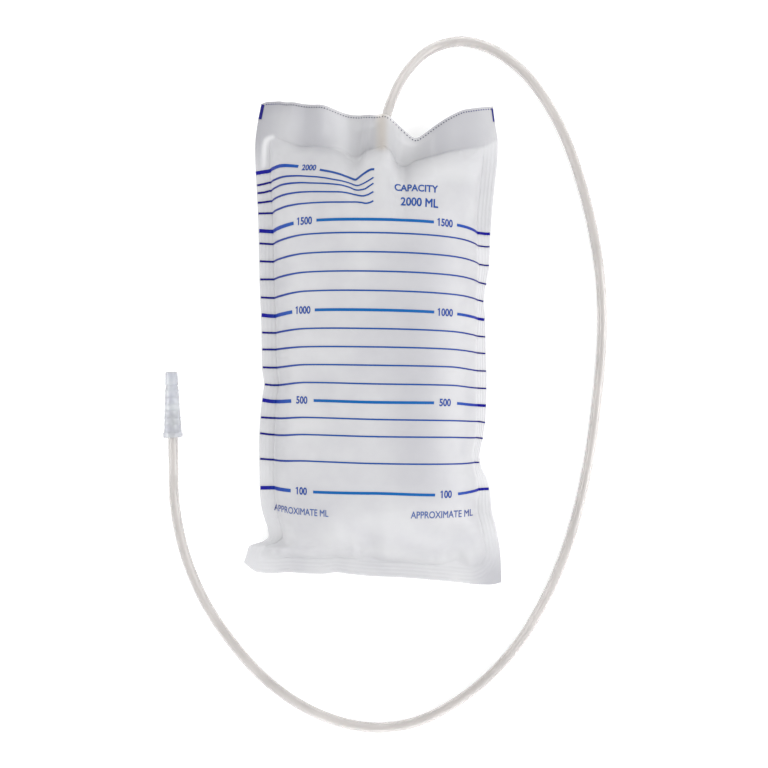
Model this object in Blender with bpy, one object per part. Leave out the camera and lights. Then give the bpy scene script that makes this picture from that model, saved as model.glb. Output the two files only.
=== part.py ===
"""Urine drainage bag of 2000 ml, lying on its back with its inlet tube laid round it.

Two films are welded together along their sides and bottom and at a wide header along the top.
The films stand apart between the welds, because the bag is a little puffed up. A tube enters
through the header, between the two leaves of a film non-return valve, and ends in a stepped
connector. Metres, +X to the bag's right, +Y towards the header, +Z up. The origin is on the
floor, under the middle of the bag.
"""

import math
from bisect import bisect_right

import bmesh
import bpy
from mathutils import Euler, Vector

# Bag: the rectangle that the edges are measured from
BAG_WIDTH = 0.160
BAG_LENGTH = 0.329

# Welds and header, measured inwards from the edges
SIDE_WELD = 0.0100
BOTTOM_WELD = 0.0105
HEADER_DEPTH = 0.0240
RIB_COUNT = 3
RIB_HEIGHT = 0.0005

# Films
FILM = 0.00025
WELD_GAP = 0.0003

# Puffed form: height of the weld above the floor, rise of the face above the weld
WELD_HEIGHT = 0.0140
WELD_HEIGHT_AT_BOTTOM = 0.0080
WELD_HEIGHT_AT_CORNER = 0.0030
UPPER_RISE = 0.0360
LOWER_RISE = 0.0240
TOP_SHOULDER = 0.0380
BOTTOM_SHOULDER = 0.0420
BACK_SHOULDER = 0.0280
END_DROOP = 0.0500
LEAST_PILLOW_SHARE = 0.35

# How gently the face starts to rise from its welds
SIDE_SOFTNESS = 0.0020
TOP_SOFTNESS = 0.0060
BOTTOM_SOFTNESS = 0.0040

# Notch that the header is gathered into, beside the tube. Its fold runs down and to the left.
NOTCH_X = 0.0281
NOTCH_DEPTH = 0.0142
NOTCH_LEFT_REACH = 0.0180
NOTCH_RIGHT_REACH = 0.0300
NOTCH_ROUND = 0.0030
NOTCH_SHARPNESS = 1.5
NOTCH_DROP = 0.0055
NOTCH_SLANT = 0.41

# Inlet tube
TUBE_DIAMETER = 0.0065
TUBE_X = 0.0092
TUBE_HEIGHT_IN_HEADER = 0.0145
TUBE_END_INSIDE = 0.0030
TUBE_POINT_SPACING = 0.0155
TUBE_CLEARANCE = 0.0005
TUNNEL_SPREAD = 2.25
TUBE_LEVEL_REACH = 2 * TUBE_DIAMETER

# Non-return valve
VALVE_WIDTH = 0.0500
VALVE_OFFSET = 0.0041
VALVE_DROP = 0.0190
VALVE_MARGIN = 0.0040
VALVE_TOP_SHARE = 0.60
VALVE_TAPER = 0.0035
LEAF = 0.0002
LEAF_GAP = 0.0003

# Connector
CONNECTOR_LENGTH = 0.0446
CONNECTOR_BASE_X = -0.13535
CONNECTOR_BASE_Y = -0.0641
CONNECTOR_TURN = math.radians(2.3)
NOSE_LENGTH = 0.0087
NOSE_TIP_RADIUS = 0.00395
NOSE_BASE_RADIUS = 0.00435
NECK_RADIUS = 0.00375
STEP_COUNT = 7
STEP_HEIGHT = 0.00045
FIRST_STEP_RADIUS = 0.00410
LAST_STEP_RADIUS = 0.00540
COLLAR_RADIUS = 0.0064
COLLAR_LENGTH = 0.0037
BORE_RADIUS = 0.0022
SOCKET_DEPTH = 0.0180
SOCKET_CLEARANCE = 0.0003
EDGE_BREAK = 0.0003
CONNECTOR_SIDES = 20
FLOOR_CLEARANCE = 0.0001

# Mesh fineness
CHAMBER_COLUMNS = 20
SHOULDER_ROWS = 7
MIDDLE_ROWS = 11
PLAIN_WELD_CELL_COUNT = 2
HEADER_CELL_COUNT = 5
CLOSEST_COLUMNS = 0.0025
SHARP_ANGLE = math.radians(50)

# Edges, as (share of the way along the edge, distance in from the rectangle)
LEFT_EDGE = (
    (0.045, -0.0080), (0.062, -0.0060), (0.080, -0.0038), (0.090, 0.0055), (0.102, 0.0095),
    (0.118, 0.0093), (0.141, 0.0074), (0.171, 0.0054), (0.209, 0.0046), (0.300, 0.0043),
    (0.383, 0.0061), (0.415, 0.0076), (0.450, 0.0062), (0.542, 0.0056), (0.626, 0.0045),
    (0.748, 0.0036), (0.844, 0.0021), (0.913, 0.0014), (0.960, 0.0022), (1.000, 0.0048),
)
RIGHT_EDGE = (
    (0.000, -0.0080), (0.052, -0.0070), (0.127, -0.0025), (0.157, 0.0002), (0.196, 0.0012),
    (0.221, 0.0033), (0.248, 0.0074), (0.270, 0.0083), (0.305, 0.0062), (0.350, 0.0041),
    (0.424, 0.0034), (0.485, 0.0040), (0.545, 0.0044), (0.582, 0.0055), (0.618, 0.0040),
    (0.655, 0.0018), (0.735, 0.0008), (0.813, -0.0015), (0.868, -0.0034), (0.906, -0.0041),
    (0.954, -0.0025), (1.000, -0.0010),
)
# The right weld's width, which shrinks where the flange is drawn in
RIGHT_WELD = (
    (0.000, 0.0100), (0.160, 0.0095), (0.210, 0.0072), (0.257, 0.0040), (0.306, 0.0045),
    (0.340, 0.0055), (0.420, 0.0066), (0.500, 0.0060), (0.600, 0.0046), (0.640, 0.0064),
    (0.700, 0.0085), (0.780, 0.0100), (1.000, 0.0100),
)
BOTTOM_EDGE = (
    (0.000, 0.0150), (0.030, 0.0112), (0.060, 0.0086), (0.110, 0.0081), (0.183, 0.0091),
    (0.252, 0.0084), (0.307, 0.0082), (0.361, 0.0093), (0.422, 0.0081), (0.500, 0.0068),
    (0.614, 0.0059), (0.763, 0.0035), (0.831, 0.0022), (0.900, 0.0005), (0.950, 0.0000),
    (1.000, 0.0012),
)
TOP_EDGE = (
    (0.000, 0.0013), (0.028, 0.0000), (0.070, 0.0009), (0.136, 0.0044), (0.222, 0.0061),
    (0.330, 0.0088), (0.413, 0.0116), (0.489, 0.0130), (0.600, 0.0136), (0.720, 0.0126),
    (0.820, 0.0110), (0.878, 0.0090), (1.000, 0.0045),
)
# How far the header's lower border lies below the rectangle's edge, past the header's own depth
HEADER_BORDER = (
    (0.000, 0.0030), (0.062, 0.0014), (0.129, 0.0066), (0.187, 0.0096), (0.269, 0.0104),
    (0.352, 0.0118), (0.418, 0.0176), (0.467, 0.0122), (0.517, 0.0108), (0.554, 0.0135),
    (0.590, 0.0225), (0.615, 0.0235), (0.656, 0.0200), (0.730, 0.0167), (0.803, 0.0132),
    (0.859, 0.0114), (0.937, 0.0086), (1.000, 0.0030),
)
# How far the header's edge stands above or below the weld height, along the top
HEADER_WAVE = (
    (0.000, -0.0105), (0.040, -0.0095), (0.100, -0.0035), (0.155, 0.0020), (0.200, 0.0006),
    (0.270, 0.0030), (0.380, -0.0042), (0.465, -0.0008), (0.520, 0.0000), (0.600, 0.0000),
    (0.800, 0.0025), (0.920, -0.0010), (1.000, -0.0060),
)
HEADER_WAVE_REACH = 0.042
# Gathers that run down from a weld, as (x, depth, half width, reach from the weld)
TOP_GATHERS = (
    (-0.0137, 0.0050, 0.0080, 0.0170),
)
BOTTOM_GATHERS = (
    (-0.0020, 0.0035, 0.0060, 0.0200),
    (0.0560, 0.0050, 0.0070, 0.0260),
)

# Inlet tube's route over the floor, from the header to the connector, as (x, y, height)
TUBE_FLOOR = TUBE_DIAMETER / 2
TUBE_ROUTE = (
    (0.0185, 0.1752, 0.0110), (0.0293, 0.1906, 0.0080), (0.0403, 0.2002, 0.0050),
    (0.0568, 0.2060, TUBE_FLOOR), (0.0732, 0.2039, TUBE_FLOOR), (0.0896, 0.1961, TUBE_FLOOR),
    (0.1080, 0.1797, TUBE_FLOOR), (0.1258, 0.1524, TUBE_FLOOR), (0.1374, 0.1251, TUBE_FLOOR),
    (0.1456, 0.0978, TUBE_FLOOR), (0.1517, 0.0705, TUBE_FLOOR), (0.1555, 0.0432, TUBE_FLOOR),
    (0.1568, 0.0159, TUBE_FLOOR), (0.1557, -0.0114, TUBE_FLOOR), (0.1531, -0.0387, TUBE_FLOOR),
    (0.1497, -0.0660, TUBE_FLOOR), (0.1449, -0.0933, TUBE_FLOOR), (0.1384, -0.1206, TUBE_FLOOR),
    (0.1295, -0.1479, TUBE_FLOOR), (0.1173, -0.1752, TUBE_FLOOR), (0.1000, -0.2040, TUBE_FLOOR),
    (0.0770, -0.2295, TUBE_FLOOR), (0.0541, -0.2467, TUBE_FLOOR), (0.0323, -0.2575, TUBE_FLOOR),
    (0.0104, -0.2622, TUBE_FLOOR), (-0.0114, -0.2610, TUBE_FLOOR), (-0.0333, -0.2547, TUBE_FLOOR),
    (-0.0551, -0.2433, TUBE_FLOOR), (-0.0769, -0.2260, TUBE_FLOOR), (-0.0967, -0.2035, TUBE_FLOOR),
    (-0.1130, -0.1793, TUBE_FLOOR), (-0.1244, -0.1548, TUBE_FLOOR), (-0.1317, -0.1302, TUBE_FLOOR),
    (-0.1350, -0.1056, 0.0050),
)


def smooth_value(points, at):
    """Read a smooth curve through (place, value) points, which never overshoots them."""
    places = [place for place, _ in points]
    values = [value for _, value in points]
    if at <= places[0]:
        return values[0]
    if at >= places[-1]:
        return values[-1]
    steps = [b - a for a, b in zip(places, places[1:])]
    slopes = [(b - a) / step for a, b, step in zip(values, values[1:], steps)]
    i = bisect_right(places, at) - 1

    def tangent(k):
        if k == 0 or k == len(places) - 1:
            return slopes[min(k, len(slopes) - 1)]
        before, after = slopes[k - 1], slopes[k]
        if before * after <= 0:
            return 0.0
        return 2 * before * after / (before + after)

    u = (at - places[i]) / steps[i]
    start, end = tangent(i) * steps[i], tangent(i + 1) * steps[i]
    rise = values[i + 1] - values[i]
    return values[i] + u * start + u * u * (3 * rise - 2 * start - end) + u**3 * (start + end - 2 * rise)


def shoulder(distance, reach):
    """A quarter ellipse: 0 at a weld, 1 from reach onwards."""
    left = 1 - min(max(distance / reach, 0.0), 1.0)
    return math.sqrt(1 - left * left)


def fade(distance, reach):
    """1 at distance 0, falling smoothly to 0 at reach."""
    left = 1 - min(max(distance / reach, 0.0), 1.0)
    return left * left * (3 - 2 * left)


def soft(distance, softness):
    """A distance whose start is rounded off, so that what grows with it starts gently."""
    return math.hypot(distance, softness) - softness


def hump(offset, half_width):
    """A smooth hump, 1 in its middle and 0 from half_width outwards."""
    if abs(offset) >= half_width:
        return 0.0
    return math.cos(math.pi / 2 * offset / half_width) ** 2


# Edges of the bag in plan

def left_edge(y):
    return -BAG_WIDTH / 2 + smooth_value(LEFT_EDGE, y / BAG_LENGTH + 0.5)


def right_edge(y):
    return BAG_WIDTH / 2 - smooth_value(RIGHT_EDGE, y / BAG_LENGTH + 0.5)


def right_weld(y):
    return smooth_value(RIGHT_WELD, y / BAG_LENGTH + 0.5)


def bottom_edge(share):
    return -BAG_LENGTH / 2 + smooth_value(BOTTOM_EDGE, share)


def header_x(share):
    """Where a share of the way across the header's edge lies."""
    left, right = left_edge(BAG_LENGTH / 2), right_edge(BAG_LENGTH / 2)
    return left + (right - left) * share


def header_share(x):
    left, right = left_edge(BAG_LENGTH / 2), right_edge(BAG_LENGTH / 2)
    return (x - left) / (right - left)


def notch(x):
    """How far into the header's notch an x is, 0 beside it and 1 in its fold."""
    reach = NOTCH_LEFT_REACH if x < NOTCH_X else NOTCH_RIGHT_REACH
    left = max(0.0, 1 - soft(x - NOTCH_X, NOTCH_ROUND) / reach)
    return left**NOTCH_SHARPNESS


def top_drop(share):
    """How far the top edge lies below the rectangle's."""
    return smooth_value(TOP_EDGE, share) + NOTCH_DEPTH * notch(header_x(share))


def top_edge(share):
    return BAG_LENGTH / 2 - top_drop(share)


def header_depth(share):
    return HEADER_DEPTH + smooth_value(HEADER_BORDER, share) - top_drop(share)


# A station is a place across or along the bag: a zone and the share of the way through it
LOW_WELD, CHAMBER, HIGH_WELD = range(3)


def place_in_span(station, length, low_weld, high_weld):
    zone, share = station
    if zone == LOW_WELD:
        return low_weld * share
    if zone == HIGH_WELD:
        return length - high_weld * (1 - share)
    return low_weld + (length - low_weld - high_weld) * share


def chamber_share_of(x):
    """Share across the chamber at which a column passes x, half way down the header."""
    y = top_edge(0.5) - header_depth(0.5) / 2
    low = left_edge(y) + SIDE_WELD
    return (x - low) / (right_edge(y) - right_weld(y) - low)


VALVE_X = TUBE_X + VALVE_OFFSET
LEAF_TUNNEL = TUBE_DIAMETER / 2 + TUBE_CLEARANCE
FILM_TUNNEL = LEAF_TUNNEL + LEAF + LEAF_GAP


def column_stations(weld_cells):
    """Columns bunched at the side welds, with extra ones over the tube and the valve's sides."""
    tunnel = TUNNEL_SPREAD * FILM_TUNNEL
    special = [TUBE_X + tunnel * k for k in (-1, -0.7, -0.46, -0.23, 0, 0.23, 0.46, 0.7, 1)]
    for side in (-1, 1):
        special.append(VALVE_X + side * VALVE_WIDTH / 2)
        special.append(VALVE_X + side * (VALVE_WIDTH / 2 + VALVE_MARGIN))
    shares = [chamber_share_of(x) for x in special]
    room = 2 * CLOSEST_COLUMNS / BAG_WIDTH
    for k in range(CHAMBER_COLUMNS + 1):
        share = (1 - math.cos(math.pi * k / CHAMBER_COLUMNS)) / 2
        if k in (0, CHAMBER_COLUMNS) or all(abs(share - other) > room for other in shares):
            shares.append(share)
    weld = [k / weld_cells for k in range(weld_cells)]
    low = [(LOW_WELD, share) for share in weld]
    high = [(HIGH_WELD, 1 - share) for share in reversed(weld)]
    return low + [(CHAMBER, share) for share in sorted(shares)] + high


def row_stations(weld_cells):
    """Rows bunched at the ends of the chamber, and even along its middle and its welds."""
    length = BAG_LENGTH - BOTTOM_WELD - HEADER_DEPTH
    low = [BOTTOM_SHOULDER * (1 - math.cos(math.pi / 2 * k / SHOULDER_ROWS)) for k in range(SHOULDER_ROWS)]
    high = [length - TOP_SHOULDER * (1 - math.cos(math.pi / 2 * k / SHOULDER_ROWS)) for k in range(SHOULDER_ROWS)]
    middle_length = length - BOTTOM_SHOULDER - TOP_SHOULDER
    middle = [BOTTOM_SHOULDER + middle_length * k / MIDDLE_ROWS for k in range(MIDDLE_ROWS + 1)]
    places = low + middle + list(reversed(high))
    rows = [(LOW_WELD, k / weld_cells) for k in range(weld_cells)]
    rows += [(CHAMBER, place / length) for place in places]
    rows += [(HIGH_WELD, k / HEADER_CELL_COUNT) for k in range(1, HEADER_CELL_COUNT + 1)]
    return rows


class Spot:
    """One crossing of a column and a row: its place in plan and its distance into each zone."""

    def __init__(self, column, row):
        across = place_in_span(column, BAG_WIDTH, SIDE_WELD, SIDE_WELD) / BAG_WIDTH
        low, high = bottom_edge(across), top_edge(across)
        header = header_depth(across)
        self.share = across
        self.y = low + place_in_span(row, high - low, BOTTOM_WELD, header)
        left, right = left_edge(self.y), right_edge(self.y)
        self.right_weld = right_weld(self.y)
        self.x = left + place_in_span(column, right - left, SIDE_WELD, self.right_weld)
        self.from_left = self.x - left - SIDE_WELD
        self.from_right = right - self.right_weld - self.x
        self.from_bottom = self.y - low - BOTTOM_WELD
        self.from_header = high - header - self.y
        self.from_top = high - self.y
        self.from_low_end = self.y - low

    def in_chamber(self):
        inside = min(self.from_left, self.from_right, self.from_bottom, self.from_header)
        return inside > 1e-9

    def length_share(self):
        return min(max(self.y / BAG_LENGTH + 0.5, 0.0), 1.0)


def weld_plane(spot):
    """Height of the plane that the two films meet in, carried on across the chamber."""
    droop = fade(spot.from_low_end, END_DROOP)
    corner = abs(2 * spot.share - 1) ** 3
    low_end = WELD_HEIGHT_AT_BOTTOM + (WELD_HEIGHT_AT_CORNER - WELD_HEIGHT_AT_BOTTOM) * corner
    height = WELD_HEIGHT + (low_end - WELD_HEIGHT) * droop
    valley = notch(spot.x + NOTCH_SLANT * spot.from_top)
    wave = smooth_value(HEADER_WAVE, spot.share) - NOTCH_DROP * valley
    height += wave * fade(spot.from_top, HEADER_WAVE_REACH)
    level = hump(spot.x - TUBE_X, TUBE_LEVEL_REACH) * fade(spot.from_top - HEADER_DEPTH, VALVE_DROP)
    return height + (TUBE_HEIGHT_IN_HEADER - height) * level


def tunnel(spot, radius, flat):
    """How far a layer stands off the weld plane to clear the tube, over its flat stand-off."""
    over = hump(spot.x - TUBE_X, TUNNEL_SPREAD * radius)
    along = fade(spot.from_header - 2 * TUBE_END_INSIDE, VALVE_DROP - 2 * TUBE_END_INSIDE)
    return (radius - flat) * over * along


def film_stand_off(spot):
    """Half the gap between the films, opened where the valve and the tube lie between them."""
    beside = abs(spot.x - VALVE_X) - VALVE_WIDTH / 2
    top = header_depth(spot.share) * VALVE_TOP_SHARE
    past = max(-spot.from_header - top, spot.from_header - VALVE_DROP)
    over_valve = fade(beside, VALVE_MARGIN) * fade(past, VALVE_MARGIN)
    flat = WELD_GAP / 2 + over_valve * (LEAF + LEAF_GAP)
    return flat + tunnel(spot, FILM_TUNNEL, flat)


def gathered(spot):
    """Depth that the gathers below the header and above the bottom weld take off the face."""
    depth = 0.0
    for gathers, distance in ((TOP_GATHERS, spot.from_header), (BOTTOM_GATHERS, spot.from_bottom)):
        for x, deep, half_width, reach in gathers:
            depth += deep * hump(spot.x - x, 2 * half_width) * fade(distance, 2 * reach)
    return depth


def ribs(spot):
    """The raised ribs that the welding bars leave along the side and bottom welds."""
    side = max(-spot.from_left / SIDE_WELD, -spot.from_right / spot.right_weld)
    outward = min(max(side, -spot.from_bottom / BOTTOM_WELD, 0.0), 1.0)
    return RIB_HEIGHT * math.sin(math.pi * RIB_COUNT * outward) ** 2


def front_height(spot):
    height = weld_plane(spot) + film_stand_off(spot)
    if not spot.in_chamber():
        return height + ribs(spot)
    upper = fade(1 - spot.length_share(), 1.0)
    rise = LOWER_RISE + (UPPER_RISE - LOWER_RISE) * upper
    left, right = soft(spot.from_left, SIDE_SOFTNESS), soft(spot.from_right, SIDE_SOFTNESS)
    across = 2 * math.sqrt(left * right) / (left + right)
    top = shoulder(soft(spot.from_header, TOP_SOFTNESS), TOP_SHOULDER)
    low = shoulder(soft(spot.from_bottom, BOTTOM_SOFTNESS), BOTTOM_SHOULDER)
    pillow = rise * across * top * low
    return height + max(pillow - gathered(spot) * across, pillow * LEAST_PILLOW_SHARE)


def back_height(spot):
    """The back film hangs from the weld to the floor, and lies flat on it inside its shoulder."""
    height = weld_plane(spot) - film_stand_off(spot)
    if not spot.in_chamber():
        return height
    down = shoulder(min(spot.from_left, spot.from_right), BACK_SHOULDER)
    down *= shoulder(min(spot.from_header, spot.from_bottom), BACK_SHOULDER)
    return FILM + (height - FILM) * (1 - down)


def material(name, colour, roughness, alpha=1.0):
    """A plain Principled plastic."""
    made = bpy.data.materials.new(name)
    made.use_nodes = True
    shader = made.node_tree.nodes["Principled BSDF"]
    shader.inputs["Base Color"].default_value = (*colour, 1.0)
    shader.inputs["Roughness"].default_value = roughness
    shader.inputs["Metallic"].default_value = 0.0
    shader.inputs["Alpha"].default_value = alpha
    return made


def finish(name, mesh, surface):
    """Put a mesh in the scene as a smooth-shaded named object."""
    made = bpy.data.objects.new(name, mesh)
    bpy.context.scene.collection.objects.link(made)
    mesh.materials.append(surface)
    mesh.shade_smooth()
    mesh.set_sharp_from_angle(angle=SHARP_ANGLE)
    return made


def sheet(name, columns, rows, height, side, thickness, surface, plan=None):
    """A film over a grid of stations. It gets its thickness on the side away from the weld."""
    bm = bmesh.new()
    bmesh.ops.create_grid(bm, x_segments=len(columns) - 1, y_segments=len(rows) - 1, size=0.5)
    for vert in bm.verts:
        i = round((vert.co.x + 0.5) * (len(columns) - 1))
        j = round((vert.co.y + 0.5) * (len(rows) - 1))
        spot = Spot(columns[i], rows[j])
        if plan:
            plan(spot)
        vert.co = (spot.x, spot.y, height(spot))
    if side < 0:
        bmesh.ops.reverse_faces(bm, faces=bm.faces)
    mesh = bpy.data.meshes.new(name)
    bm.to_mesh(mesh)
    bm.free()
    made = finish(name, mesh, surface)
    solidify = made.modifiers.new("Thickness", "SOLIDIFY")
    solidify.thickness = thickness
    solidify.offset = 1.0
    solidify.use_even_offset = True
    return made


def make_films():
    """The ribbed front film, with two cells to a rib, and the plain back film."""
    front = material("Printed clear film", (0.70, 0.70, 0.74), 0.35, 0.55)
    back = material("White film", (0.80, 0.80, 0.83), 0.45)
    ribbed = 2 * RIB_COUNT
    sheet("front_film", column_stations(ribbed), row_stations(ribbed), front_height, 1, FILM, front)
    plain = PLAIN_WELD_CELL_COUNT
    sheet("back_film", column_stations(plain), row_stations(plain), back_height, -1, FILM, back)


def make_valve():
    """Two film leaves, one on each side of the tube, inside the films' own opening for them."""
    columns = column_stations(PLAIN_WELD_CELL_COUNT)
    rows = row_stations(PLAIN_WELD_CELL_COUNT)
    surface = material("Valve film", (0.78, 0.79, 0.80), 0.40, 0.6)
    half = VALVE_WIDTH / 2 + 1e-6
    low = chamber_share_of(VALVE_X - half)
    high = chamber_share_of(VALVE_X + half)
    leaf_columns = [c for c in columns if c[0] == CHAMBER and low <= c[1] <= high]
    length = BAG_LENGTH - BOTTOM_WELD - HEADER_DEPTH
    leaf_rows = [r for r in rows if r[0] == CHAMBER and (1 - r[1]) * length <= VALVE_DROP]
    leaf_rows += [r for r in rows if r[0] == HIGH_WELD and r[1] <= VALVE_TOP_SHARE + 1e-6]

    def taper(spot):
        down = max(spot.from_header, 0.0) / VALVE_DROP
        spot.x -= (spot.x - VALVE_X) * 2 / VALVE_WIDTH * VALVE_TAPER * down

    def leaf_height(sign):
        def height(spot):
            flat = WELD_GAP / 2
            return weld_plane(spot) + sign * (flat + tunnel(spot, LEAF_TUNNEL, flat))
        return height

    sheet("valve_front_leaf", leaf_columns, leaf_rows, leaf_height(1), 1, LEAF, surface, taper)
    sheet("valve_back_leaf", leaf_columns, leaf_rows, leaf_height(-1), -1, LEAF, surface, taper)


# Connector: it lies on its collar and its nose, turned a little towards the left

CONNECTOR_TILT = math.asin((COLLAR_RADIUS - NOSE_TIP_RADIUS) / CONNECTOR_LENGTH)
CONNECTOR_ROTATION = Euler((-math.pi / 2 - CONNECTOR_TILT, 0.0, CONNECTOR_TURN))
CONNECTOR_AXIS = CONNECTOR_ROTATION.to_matrix() @ Vector((0.0, 0.0, 1.0))
CONNECTOR_BASE = Vector((
    CONNECTOR_BASE_X,
    CONNECTOR_BASE_Y,
    COLLAR_RADIUS * math.cos(CONNECTOR_TILT) + COLLAR_LENGTH * math.sin(CONNECTOR_TILT) + FLOOR_CLEARANCE,
))


def connector_profile():
    """Radius and height above the base, up the socket and bore and down the stepped outside."""
    socket = TUBE_DIAMETER / 2 + SOCKET_CLEARANCE
    top = CONNECTOR_LENGTH
    steps_top = top - NOSE_LENGTH
    pitch = (steps_top - COLLAR_LENGTH) / STEP_COUNT
    profile = [(socket, 0.0), (socket, SOCKET_DEPTH), (BORE_RADIUS, SOCKET_DEPTH), (BORE_RADIUS, top)]
    profile += [(NOSE_TIP_RADIUS - EDGE_BREAK, top), (NOSE_TIP_RADIUS, top - EDGE_BREAK)]
    profile += [(NOSE_BASE_RADIUS, steps_top)]
    for step in range(STEP_COUNT):
        root = FIRST_STEP_RADIUS + (LAST_STEP_RADIUS - FIRST_STEP_RADIUS) * step / (STEP_COUNT - 1)
        high = steps_top - pitch * step
        start = root if step else NECK_RADIUS
        profile.append((start, high - EDGE_BREAK))
        profile.append((root + STEP_HEIGHT, high - pitch))
    profile += [(COLLAR_RADIUS - EDGE_BREAK, COLLAR_LENGTH - EDGE_BREAK)]
    profile += [(COLLAR_RADIUS, COLLAR_LENGTH - 2 * EDGE_BREAK), (COLLAR_RADIUS, EDGE_BREAK)]
    profile += [(COLLAR_RADIUS - EDGE_BREAK, 0.0)]
    return profile


def make_connector():
    bm = bmesh.new()
    corners = [bm.verts.new((radius, 0.0, height)) for radius, height in connector_profile()]
    edges = [bm.edges.new((a, b)) for a, b in zip(corners, corners[1:] + corners[:1])]
    bmesh.ops.spin(
        bm,
        geom=corners + edges,
        cent=(0.0, 0.0, 0.0),
        axis=(0.0, 0.0, 1.0),
        angle=2 * math.pi,
        steps=CONNECTOR_SIDES,
        use_merge=True,
    )
    bmesh.ops.remove_doubles(bm, verts=bm.verts, dist=1e-6)
    bmesh.ops.recalc_face_normals(bm, faces=bm.faces)
    mesh = bpy.data.meshes.new("connector")
    bm.to_mesh(mesh)
    bm.free()
    made = finish("connector", mesh, material("Moulded connector", (0.66, 0.68, 0.72), 0.30))
    made.location = CONNECTOR_BASE
    made.rotation_euler = CONNECTOR_ROTATION


# Inlet tube

def tube_route():
    """The route's points: straight through the header, round over the floor, into the socket."""
    share = header_share(TUBE_X)
    seam = top_edge(share)
    mouth = seam - header_depth(share) - TUBE_END_INSIDE
    points = [Vector((TUBE_X, y, TUBE_HEIGHT_IN_HEADER)) for y in (mouth, (mouth + seam) / 2, seam)]
    points += [Vector(point) for point in TUBE_ROUTE]
    points.append(CONNECTOR_BASE - CONNECTOR_AXIS * SOCKET_DEPTH)
    points.append(CONNECTOR_BASE)
    points.append(CONNECTOR_BASE + CONNECTOR_AXIS * (SOCKET_DEPTH - SOCKET_CLEARANCE))
    return points


def smooth_route(points, spacing):
    """Points about spacing apart on one smooth curve through the given ones."""
    path = []
    for i in range(len(points) - 1):
        before = points[max(i - 1, 0)]
        start, end = points[i], points[i + 1]
        after = points[min(i + 2, len(points) - 1)]
        reach = (end - start).length
        out = (end - before).normalized() * reach
        into = (after - start).normalized() * reach
        parts = max(1, round(reach / spacing))
        for k in range(parts):
            u = k / parts
            place = start * (2 * u**3 - 3 * u**2 + 1) + out * (u**3 - 2 * u**2 + u)
            place += end * (3 * u**2 - 2 * u**3) + into * (u**3 - u**2)
            place.z = max(place.z, TUBE_FLOOR)
            path.append(place)
    path.append(points[-1])
    return path


def make_tube():
    path = smooth_route(tube_route(), TUBE_POINT_SPACING)
    curve = bpy.data.curves.new("inlet_tube", "CURVE")
    curve.dimensions = "3D"
    spline = curve.splines.new("POLY")
    spline.points.add(len(path) - 1)
    for point, place in zip(spline.points, path):
        point.co = (*place, 1.0)
    curve.bevel_depth = TUBE_DIAMETER / 2
    curve.bevel_resolution = 2
    curve.use_fill_caps = True
    curve.materials.append(material("Clear tube", (0.80, 0.79, 0.77), 0.20, 0.6))
    made = bpy.data.objects.new("inlet_tube", curve)
    bpy.context.scene.collection.objects.link(made)


def main():
    for old in list(bpy.data.objects):
        bpy.data.objects.remove(old)
    make_films()
    make_valve()
    make_connector()
    make_tube()


main()
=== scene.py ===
"""Looks of a 2000 ml urine drainage bag, seen from above on a pale floor.

Everything is in metres in the part's own frame: +X to the bag's right, +Y towards the header,
+Z up, the origin on the floor under the middle of the bag.
"""

import logging
import math
from collections.abc import Callable, Iterable
from dataclasses import dataclass
from enum import Enum

import bpy
import numpy as np
from mathutils import Euler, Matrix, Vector
from mathutils.bvhtree import BVHTree


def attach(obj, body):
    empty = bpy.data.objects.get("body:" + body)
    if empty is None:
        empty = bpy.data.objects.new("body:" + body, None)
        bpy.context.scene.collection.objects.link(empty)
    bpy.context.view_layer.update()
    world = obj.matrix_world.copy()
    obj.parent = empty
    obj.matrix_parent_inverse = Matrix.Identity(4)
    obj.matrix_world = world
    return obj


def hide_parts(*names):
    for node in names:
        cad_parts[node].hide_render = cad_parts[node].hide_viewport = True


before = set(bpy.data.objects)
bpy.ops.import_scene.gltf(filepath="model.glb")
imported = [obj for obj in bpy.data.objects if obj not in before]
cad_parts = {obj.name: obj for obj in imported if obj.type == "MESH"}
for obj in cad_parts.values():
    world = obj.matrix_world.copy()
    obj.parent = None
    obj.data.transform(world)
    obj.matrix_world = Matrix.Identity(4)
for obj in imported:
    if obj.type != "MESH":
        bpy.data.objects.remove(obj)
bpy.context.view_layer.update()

Floats = np.ndarray
Point = tuple[float, float]
Point3 = tuple[float, float, float]
Point4 = tuple[float, float, float, float]
Cells = tuple[int, int, int, int]
Piece = bpy.types.Object
Material = bpy.types.Material
Tree = bpy.types.NodeTree
Node = bpy.types.Node

# The photograph: its width in pixels, and what one pixel covers on the floor
IMAGE_PIXELS = 768
METRES_PER_PIXEL = 0.000687
SENSOR_MM = 36.0

# Attributes on the films' points: how grey a film is, from its welded header and painted shade, how much
# painted light it gets, and how warm it is over the tube
GREY_AND_SHADE_TONE = "weld_grey_and_painted_shade"
PAINTED_LIGHT_TONE = "painted_light_share"
TUBE_TONE = "over_tube"


# Small tools

def linear(hex_colour: str) -> Point4:
    """Turn an sRGB hex colour into the linear colour that a shader takes.

    Args:
        hex_colour: Six hex digits after a hash.

    Returns:
        Red, green, blue and an alpha of 1.
    """
    parts = [int(hex_colour[i:i + 2], 16) / 255 for i in (1, 3, 5)]
    red, green, blue = (p / 12.92 if p <= 0.04045 else ((p + 0.055) / 1.055) ** 2.4 for p in parts)
    return red, green, blue, 1.0


def add_node(
    tree: Tree,
    kind: str,
    settings: dict[str, object] | None = None,
    values: dict[str | int, object] | None = None,
    links: dict[str | int, tuple[Node, str | int]] | None = None,
) -> Node:
    """Add one node with its settings and links.

    Args:
        tree: The node tree that it goes into.
        kind: The node's Blender type.
        settings: The node's own properties.
        values: Values for its inputs.
        links: For an input, the node and the output that feed it.

    Returns:
        The new node.
    """
    node = tree.nodes.new(kind)
    for name, value in (settings or {}).items():
        setattr(node, name, value)
    for socket, value in (values or {}).items():
        node.inputs[socket].default_value = value
    for socket, (source, output) in (links or {}).items():
        tree.links.new(source.outputs[output], node.inputs[socket])
    return node


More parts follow.
